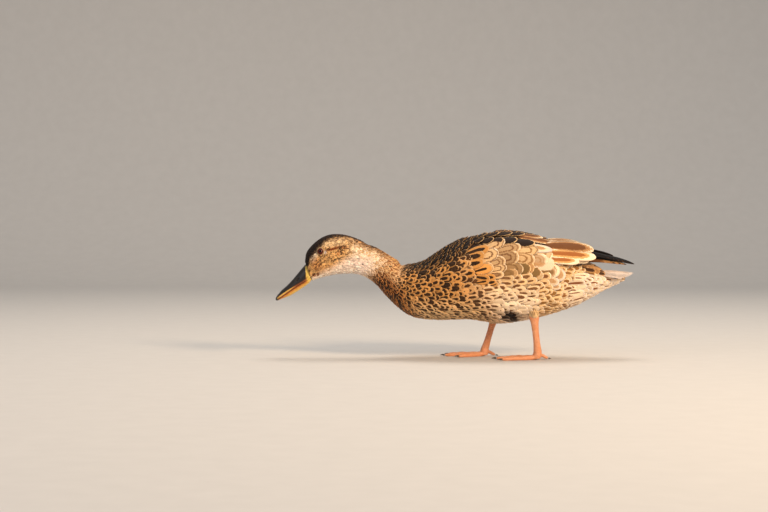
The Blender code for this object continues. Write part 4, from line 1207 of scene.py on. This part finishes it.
# %% Leg skin: waxy orange scales, darker and rougher in the furrows between them
SCUTE, LEG_TONE = 1.3 * MM, 5 * MM         # width of the small scales on shanks and webs; size of the tones
leg_skin, add, shader = new_material("scaled_leg_skin", Specular_IOR_Level=0.45, Subsurface_Weight=0.12,
                                     Subsurface_Radius=(0.9, 0.35, 0.12), Subsurface_Scale=1.2 * MM)
place = add("TexCoord").outputs["Object"]
wave = add("TexNoise", place, Scale=1 / LEG_TONE, Detail=2.0).outputs[0]
squeezed = add("Mapping", place, Scale=(1.0, 1.0, 1.25))
edges = add("TexVoronoi", squeezed, Scale=1 / SCUTE, feature="DISTANCE_TO_EDGE")
plate = add("Math", edges, 5.0, operation="MULTIPLY", use_clamp=True)
tone = add("SeparateXYZ", add("TexVoronoi", squeezed, Scale=1 / SCUTE).outputs["Color"])
grey = add("Math", tone, 0.10, 0.93, operation="MULTIPLY_ADD")
colour = add("MixRGB", wave, linear("d98b5c"), linear("efb591"))
colour = add("MixRGB", 1.0, colour, add("CombineXYZ", grey, grey, grey), blend_type="MULTIPLY")
colour = add("MixRGB", plate, linear("cb7b45"), colour)
rough = add("Math", plate, -0.22, 0.62, operation="MULTIPLY_ADD")
bump = add("Bump", Strength=0.45, Distance=0.2 * MM, Height=plate)
wire(shader, Base_Color=colour, Roughness=rough, Normal=bump)
print("leg skin:", len(leg_skin.node_tree.nodes), "nodes, scales", round(SCUTE / MM, 1), "mm wide")

# %% The wings' bases
BASE_END = 0.124                            # metres, the x behind which only feathers reach
for tag in SIDES:
    base = node_copy(f"wing_base_{tag}", f"wing_{tag}")
    remesh(base, 1.6)
    bpy.ops.object.mode_set(mode="EDIT")
    bpy.ops.mesh.select_all(action="SELECT")
    bpy.ops.mesh.bisect(plane_co=(BASE_END, 0, 0), plane_no=(1, 0, 0), use_fill=True, clear_outer=True)
    bpy.ops.object.mode_set(mode="OBJECT")
    draw_under(base, coat_guide, WING_DEPTH)
    apply_modifier(base, "SMOOTH", factor=0.5, iterations=2)
    colour_like_coat(base)
    finish_piece(base, "wing_feathers", f"wing_{tag}", material=plumage_skin)
    print(base.name, len(base.data.polygons), "faces")

# %% The body's skin
skin = node_copy("skin", *CORE)
remesh(skin, 2.0, smoothing=3)
draw_under(skin, core_guide, COAT_DEPTH)
for material in (plumage_skin, leg_skin):
    skin.data.materials.append(material)
print("body skin:", len(skin.data.polygons), "faces")

# %% The legs, with a plug at the top that reaches into the body
PLUG_LENGTH, PLUG_SINK, PLUG_SHARE = 14.0 * MM, 1.5 * MM, 0.8       # the last: of the shank's radius
pebbles = bpy.data.textures.new("scutes", "VORONOI")
pebbles.noise_scale, pebbles.distance_metric = SCUTE, "DISTANCE"


def shank_top(tag):
    """Where a shank meets the body, its direction there, and its radius."""
    corners = np.array([v.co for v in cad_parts[f"shank_{tag}"].data.vertices])
    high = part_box(f"shank_{tag}")[1].z
    slope = np.polyfit(corners[:, 2], corners[:, :2], 1)[0]
    ring = corners[corners[:, 2] > high - 6 * MM]
    top = Vector((*(ring[:, :2] + slope * (high - ring[:, 2:3])).mean(axis=0), high))
    radius = np.linalg.norm(ring[:, :2] - ring[:, :2].mean(axis=0), axis=1).min()
    return top, Vector((*slope, 1)).normalized(), radius


legs = []
for tag in SIDES:
    leg = node_copy(f"leg_{tag}", f"foot_{tag}", f"shank_{tag}")
    top, along, radius = shank_top(tag)
    select_only()
    bpy.ops.mesh.primitive_cone_add(vertices=24, radius1=radius * PLUG_SHARE, radius2=radius * PLUG_SHARE,
                                    depth=PLUG_LENGTH, location=top + along * (PLUG_LENGTH / 2 - PLUG_SINK),
                                    rotation=along.to_track_quat("Z", "Y").to_euler())
    select_only(bpy.context.object, leg)
    bpy.ops.object.join()
    remesh(leg, 0.6, smoothing=2)
    relief = dict(texture=pebbles, texture_coords="LOCAL", strength=-0.13 * MM, mid_level=0.3)
    apply_modifier(leg, "DISPLACE", **relief)
    places = places_of(leg)
    places[:, 2] = np.maximum(places[:, 2], 0.0)
    set_places(leg, places)
    leg.data.materials.append(leg_skin)
    legs.append(leg)
    print(leg.name, len(leg.data.polygons), "faces, shank radius at the top", round(radius / MM, 1), "mm")

# %% One skin: union of body and legs
for leg in legs:
    apply_modifier(skin, "BOOLEAN", object=leg, operation="UNION", solver="EXACT", material_mode="TRANSFER")
    bpy.data.objects.remove(leg)
colour_like_coat(skin)
finish_piece(skin, "plumage", *CORE, "shank_l", "shank_r", "foot_l", "foot_r")
print("skin:", len(skin.data.polygons), "faces,", [m.name for m in skin.data.materials])

# %% Short feathers of the shins, which close round the top of each leg
TUFT, TUFT_WIDTH = 96, 4.2                             # number, and width in mm
TUFT_ROOT, TUFT_TIP = (12.5, 6.2), (0.0, 0.5)          # mm over the shank's top, and out from it
GOLDEN_ANGLE = 2.39996                                 # radians; it strews them evenly round the leg
for tag in SIDES:
    top, along, radius = shank_top(tag)
    top, along, radius = np.array(top) / MM, np.array(along), radius / MM
    turn = np.arange(TUFT) * GOLDEN_ANGLE
    layer = random.uniform(-3, 3, TUFT)[:, None]
    out = np.stack([np.cos(turn), np.sin(turn), 0 * turn], axis=1)
    root = top + along * (TUFT_ROOT[0] + layer) + out * TUFT_ROOT[1]
    tip = top + along * (TUFT_TIP[0] + layer) + out * (radius + TUFT_TIP[1] + 0.5 * np.maximum(layer, -0.4))
    at = blades(SMALL, root, tip, TUFT_WIDTH, out, 1.0, 0.3)
    marks = plain_marks(TUFT, ground="straw", mark="brown", edge="cream", size=0.42, narrow=2.2, rim=0.14)
    s = np.interp(root[:, 0], spine_middle[:, 0], spine_s)
    group = (SMALL, at, s, np.degrees(turn) % 360, TUFT_ROOT[0] - TUFT_TIP[0], TUFT_WIDTH, marks)
    feather_piece(f"shin_feathers_{tag}", [group], contour_keratin, "plumage")

# %% [markdown]
# ## The bill
#
# A duck's bill is bone under a thin soft skin, with harder horn only in the nail at its tip. Hers is orange
# with a dark saddle that leaves the edges and the base free. The two CAD mandibles give its form in flat
# facets. A subdivision surface would shrink their edges, so copies are remeshed finely and smoothed. Then
# the nail and the soft border at the face are raised and the comb along the mouth is pressed in, by moving
# the corners by a formula of their place along and across the bill.

# %% Coordinates of the bill: along its axis, and upwards from the mouth line
BILL_PITCH, BILL_BASE = math.radians(41.0), (-170.2, 99.5)
BILL_AHEAD = np.array([math.cos(BILL_PITCH), 0, math.sin(BILL_PITCH)])          # from the tip to the face
BILL_UP = np.array([-math.sin(BILL_PITCH), 0, math.cos(BILL_PITCH)])
MOUTH = ((0, -6.6), (12, -5.5), (25, -3.4), (38, -2.0), (50, -0.6))                # distance, height
BILL_LENGTH, NAIL_START, NAIL_HALF, COMB_PITCH = 49.6, 42.0, 3.6, 1.15
BASE_REACH, MOUTH_GAP, TIP_TAPER = 2.6, 0.6, 0.3


def bill_coordinates(places):
    """Distance from the face's edge, height over the mouth line, and distance from the middle."""
    x, z = places[:, 0] - BILL_BASE[0], places[:, 2] - BILL_BASE[1]
    distance = -math.cos(BILL_PITCH) * x - math.sin(BILL_PITCH) * z
    height = -math.sin(BILL_PITCH) * x + math.cos(BILL_PITCH) * z
    distance_on_edge = distance + 0.35 * height * (1 - rising(distance, 0, 20))
    return distance_on_edge, height - np.interp(distance, *zip(*MOUTH)), np.abs(places[:, 1])


probe = bill_coordinates(np.array([[-208.0, 0.0, 70.0]]))
print("near the bill's tip:", [value.round(1).tolist() for value in probe])

# %% Bill skin: waxy skin over bone, orange, with a blackish saddle whose edge is ragged, and satin all over
BLOT, SPECK = 3.5 * MM, 0.7 * MM
bill_skin, add, shader = new_material(
    "bill_skin", Specular_IOR_Level=0.35, Coat_Weight=0.08, Coat_Roughness=0.3, Subsurface_Weight=0.1,
    Subsurface_Radius=(0.8, 0.35, 0.12), Subsurface_Scale=1.0 * MM)
place = add("TexCoord").outputs["Object"]
shares = add("Attribute", attribute_name="bill_shares").outputs["Vector"]
saddle, yellow, red = add("SeparateXYZ", shares).outputs
blots = add("TexNoise", place, Scale=1 / BLOT, Detail=4.0).outputs[0]
specks = add("TexNoise", place, Scale=1 / SPECK, Detail=2.0).outputs[0]
colour = add("MixRGB", blots, linear("a85f1c"), linear("d99440"))
colour = add("MixRGB", yellow, colour, linear("e0bb58"))
colour = add("MixRGB", red, colour, linear("5c2210"))
ragged = add("Math", add("Math", blots, 0.9, -0.45, operation="MULTIPLY_ADD"), saddle)
ragged = add("Math", ragged, 0.5, operation="SUBTRACT")
ragged = add("Math", ragged, 2.6, 0.5, operation="MULTIPLY_ADD", use_clamp=True)
colour = add("MixRGB", ragged, colour, add("MixRGB", specks, linear("120e0a"), linear("2c231a")))
rough = add("Math", specks, 0.2, 0.30, operation="MULTIPLY_ADD")
bump = add("Bump", Strength=0.35, Distance=0.12 * MM, Height=specks)
wire(shader, Base_Color=colour, Roughness=rough, Normal=bump)
print("bill skin:", len(bill_skin.node_tree.nodes), "nodes")

# %% The two mandibles
for name, upper in (("bill_upper", True), ("bill_lower", False)):
    piece = node_copy(name.replace("bill", "mandible"), name)
    remesh(piece, 0.45, smoothing=14)
    places = places_of(piece)
    distance, height, aside = bill_coordinates(places)
    normals = np.empty(len(places) * 3)
    piece.data.vertices.foreach_get("normal", normals)
    comb = (1 - rising(height, 0.7, 1.5)) * rising(height, -0.4, 0.2) * rising(aside, 4, 6)
    comb = comb * rising(distance, 6, 10) * (1 - rising(distance, 40, 43))
    press = -0.16 * comb * (0.5 + 0.5 * np.cos(2 * math.pi * distance / COMB_PITCH))
    if upper:
        nail = np.hypot((distance - BILL_LENGTH) / (BILL_LENGTH - NAIL_START), aside / NAIL_HALF)
        press += 0.35 * (1 - rising(nail, 0.8, 0.95)) * rising(height, 1.2, 2.0)
        press -= 0.30 * (1 - rising(np.abs(nail - 1.06), 0.04, 0.14)) * rising(height, 1.2, 2.0)
        press -= 0.25 * (1 - rising(np.abs(height - 2.3), 0.2, 0.7)) * rising(distance, 14, 24)
        press += 0.18 * (1 - rising(np.abs(distance - 1.1), 0.2, 0.8))
    behind = 1 - rising(distance, -0.4, 1.2)                   # its base runs on under the face's feathers
    shut = 0 if upper else rising(height, -1.4, -0.7)          # and the lower mandible shuts the mouth
    places = places + normals.reshape(-1, 3) * press[:, None] + np.outer(BASE_REACH * behind, BILL_AHEAD)
    places[:, 1] *= 1 - 0.1 * behind
    taper = TIP_TAPER * height * rising(distance, 34, 50) * (1.0 if upper else 1.6)
    set_places(piece, places + np.outer(MOUTH_GAP * shut - taper, BILL_UP))
    border = height - np.interp(distance, (0, 25, 45), (0.8, 1.2, 2.0))
    saddle = rising(border, 0, 2.4) * rising(distance + 0.4 * (height - 8), 1.0, 4.5) if upper else 0 * height
    saddle = np.maximum(saddle, rising(distance, 44, 49))
    if upper:
        nostril = np.hypot((distance - 15) / 3.2, (height - 7.8) / 1.6)
        saddle = np.maximum(saddle, 1 - rising(nostril, 0.7, 1.1))
    yellow = 1 - rising(distance - np.interp(height, (0, 14), (3.5, 0.2)), 0, 3.5)
    if upper:
        stripe = rising(distance, 20, 30) * (1 - rising(np.abs(height - 2.0), 0.4, 1.0))
        yellow = np.maximum(yellow, 0.7 * stripe)
    else:
        yellow = np.maximum(yellow, 0.8 * (1 - rising(height, -3.4, -1.4)))
    red = 0.85 * (1 - rising(np.hypot((distance - 14) / 13, (height - 2.2) / 1.9), 0.5, 1.1))
    red = np.maximum(red, 0.9 * (1 - rising(np.abs(height), 0.7, 1.4)) * rising(distance, 3, 9))
    keep_values(piece.data, "bill_shares", np.stack([saddle, yellow, red if upper else 0.6 * red], axis=1))
    finish_piece(piece, "bill_horn", name, material=bill_skin)
    print(piece.name, len(piece.data.polygons), "faces, length", round(np.ptp(distance), 1), "mm")

# %% [markdown]
# ## The eyes and their lids
#
# A mallard's eye is dark brown, nearly black in shade, with a large pupil, and it is set so deep that only
# a disc of it shows between two thin lids. The ball is a sphere with a slight extra curve for the cornea.
# The lids could be cut into the skin, but the skin is hidden by feathers there, so each pair is one closed
# ring of its own, bent over the ball: a torus, squeezed into the shape of the opening.

# %% Eye glass: a black pupil, a dark red-brown iris with fine rays, and a clear moist coat over all
eye_glass, add, shader = new_material("eye_with_clear_cornea", Specular_IOR_Level=0.10, Coat_Weight=0.6,
                                      Coat_Roughness=0.03, Coat_IOR=1.3)
far, turn, _ = add("SeparateXYZ", add("Attribute", attribute_name="eye").outputs["Vector"]).outputs
rays = add("CombineXYZ", turn, add("Math", far, 0.3, operation="MULTIPLY"))
rays = add("TexNoise", rays, Scale=9.0, Detail=2.0).outputs[0]
outer = add("Math", far, 1.6, -4.3, operation="MULTIPLY_ADD", use_clamp=True)
iris = add("MixRGB", outer, add("MixRGB", rays, linear("340c06"), linear("702010")), linear("180a06"))
pupil = add("Math", far, -7.0, 12.0, operation="MULTIPLY_ADD", use_clamp=True)
rough = add("Math", rays, 0.1, 0.12, operation="MULTIPLY_ADD")
wire(shader, Base_Color=add("MixRGB", pupil, iris, linear("050303")), Roughness=rough)
print("eye glass:", len(eye_glass.node_tree.nodes), "nodes")

# %% Lid skin: wrinkled, bare and dusky at the edge, with down as fine as velvet further out
FOLD = 0.6 * MM
lid_skin, add, shader = new_material("eyelid_skin", Specular_IOR_Level=0.3)
folds = add("TexNoise", add("TexCoord").outputs["Object"], Scale=1 / FOLD, Detail=3.0).outputs[0]
bare = add("MixRGB", folds, linear("33201a"), linear("6b4a38"))
downy = add("MixRGB", folds, linear("6f4827"), linear("cfa873"))
colour = add("MixRGB", add("Attribute", attribute_name="down").outputs["Fac"], bare, downy)
rough = add("Math", folds, 0.3, 0.4, operation="MULTIPLY_ADD")
bump = add("Bump", Strength=0.8, Distance=0.2 * MM, Height=folds)
wire(shader, Base_Color=colour, Roughness=rough, Normal=bump)
print("lid skin:", len(lid_skin.node_tree.nodes), "nodes")

# %% Eyeballs
CORNEA_RISE, EYE_FORWARD, EYE_UPWARD = 0.5, -0.16, 0.10          # mm, and the direction that the eye looks


def eyeball(tag, centre, radius, look, level, upright):
    """A ball with a raised cornea, whose rim stays under the lids."""
    select_only()
    bpy.ops.mesh.primitive_uv_sphere_add(segments=48, ring_count=32, radius=radius * MM, location=centre * MM)
    ball = bpy.context.object
    ball.name = f"eyeball_{tag}"
    bpy.ops.object.transform_apply(location=True, rotation=True, scale=True)
    places = places_of(ball) - centre
    out = places @ look
    far = np.linalg.norm(places - out[:, None] * look, axis=1)
    front = (out > 0) * (1 - rising(far, 1.5, 3.8))
    shoulder = (out > 0) * rising(far, 3.8, 4.8)
    places += look * (CORNEA_RISE * front)[:, None] - places * (0.08 * shoulder)[:, None]
    turn = np.arctan2(places @ upright, places @ level)
    set_places(ball, places + centre)
    keep_values(ball.data, "eye", np.stack([far + 9 * (out < 0), turn, 0 * far], axis=1))
    finish_piece(ball, "eye", f"eye_{tag}", material=eye_glass)
    print(ball.name, "radius", round(radius, 2), "mm at", centre.round(1))


# %% Lids, and both eyes put in place
OPENING, RING = (2.95, 3.6), 0.1         # the opening's half width and half height in mm; the torus's radius
LID_THICKNESS, LID_REACH, LID_GAP = 0.30, 4.5, 0.25


def eyelids(tag, centre, radius, look, level, upright):
    """A closed ring bent over the ball; its outer side runs down to the feathers."""
    select_only()
    bpy.ops.mesh.primitive_torus_add(major_radius=1.0, minor_radius=RING, major_segments=64,
                                     minor_segments=10)
    lid = bpy.context.object
    lid.name = f"eyelids_{tag}"
    ring = places_of(lid) * MM
    angle = np.arctan2(ring[:, 1], ring[:, 0])
    fat = LID_THICKNESS * (1 + 0.25 * np.sin(angle))                  # the upper lid is the thicker one
    from_ring = (np.hypot(ring[:, 0], ring[:, 1]) - 1) / RING * fat
    keep_values(lid.data, "down", (from_ring > 0.2 * fat).astype(float), "FLOAT")
    from_ring *= np.where(from_ring > 0, LID_REACH, 1)
    across = (OPENING[0] + 0.35 * fat + from_ring) * np.cos(angle)
    along = (OPENING[1] + 0.35 * fat + from_ring) * np.sin(angle)
    across += 0.5 * np.abs(np.cos(angle)) ** 8 * np.cos(angle)        # drawn out into the corners
    depth = np.sqrt(np.maximum((radius + LID_GAP) ** 2 - across**2 - along**2, 0.5)) + ring[:, 2] / RING * fat
    set_places(lid, centre + across[:, None] * level + along[:, None] * upright + depth[:, None] * look)
    bpy.ops.object.mode_set(mode="EDIT")
    bpy.ops.mesh.select_all(action="SELECT")
    bpy.ops.mesh.normals_make_consistent(inside=False)
    bpy.ops.object.mode_set(mode="OBJECT")
    finish_piece(lid, "leg_skin", material=lid_skin)
    print(lid.name, len(lid.data.polygons), "faces")


for tag, side in SIDES.items():
    low, high = (np.array(corner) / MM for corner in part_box(f"eye_{tag}"))
    look = unit(np.array([EYE_FORWARD, side, EYE_UPWARD]))
    level = unit(np.cross(look, (0, 0, 1)))
    eye = ((low + high) / 2, (high - low).max() / 2, look, level, np.cross(level, look))
    eyeball(tag, *eye)
    eyelids(tag, *eye)

# %% [markdown]
# ## Claws
#
# Each toe ends in a small blackish claw of horn, satin and finely striped along its length. The CAD claws
# have the right form in coarse facets; a subdivision surface rounds them.

# %% Claw horn: grown in layers, near-black, a little paler and striped along the claw, satin
STRIPE = 0.8 * MM
claw_horn, add, shader = new_material("layered_claw_horn", Specular_IOR_Level=0.5)
place = add("Mapping", add("TexCoord").outputs["Object"], Scale=(0.3, 2.0, 2.0))
stripes = add("TexNoise", place, Scale=1 / STRIPE, Detail=3.0).outputs[0]
rough = add("Math", stripes, 0.25, 0.28, operation="MULTIPLY_ADD")
bump = add("Bump", Strength=0.3, Distance=0.1 * MM, Height=stripes)
colour = add("MixRGB", stripes, linear("15100c"), linear("4a3a2a"))
wire(shader, Base_Color=colour, Roughness=rough, Normal=bump)
print("claw horn:", len(claw_horn.node_tree.nodes), "nodes")

# %% The claws, kept just above the floor
CLAW_FLOOR = 0.05                       # mm
claws = [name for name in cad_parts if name.startswith("claw_")]
for name in claws:
    claw = node_copy("horn_" + name, name)
    select_only(claw)
    apply_modifier(claw, "SUBSURF", levels=2, render_levels=2)
    places = places_of(claw)
    places[:, 2] = np.maximum(places[:, 2], CLAW_FLOOR)
    set_places(claw, places)
    finish_piece(claw, "claw_horn", name, material=claw_horn)
print("claws:", len(claws))
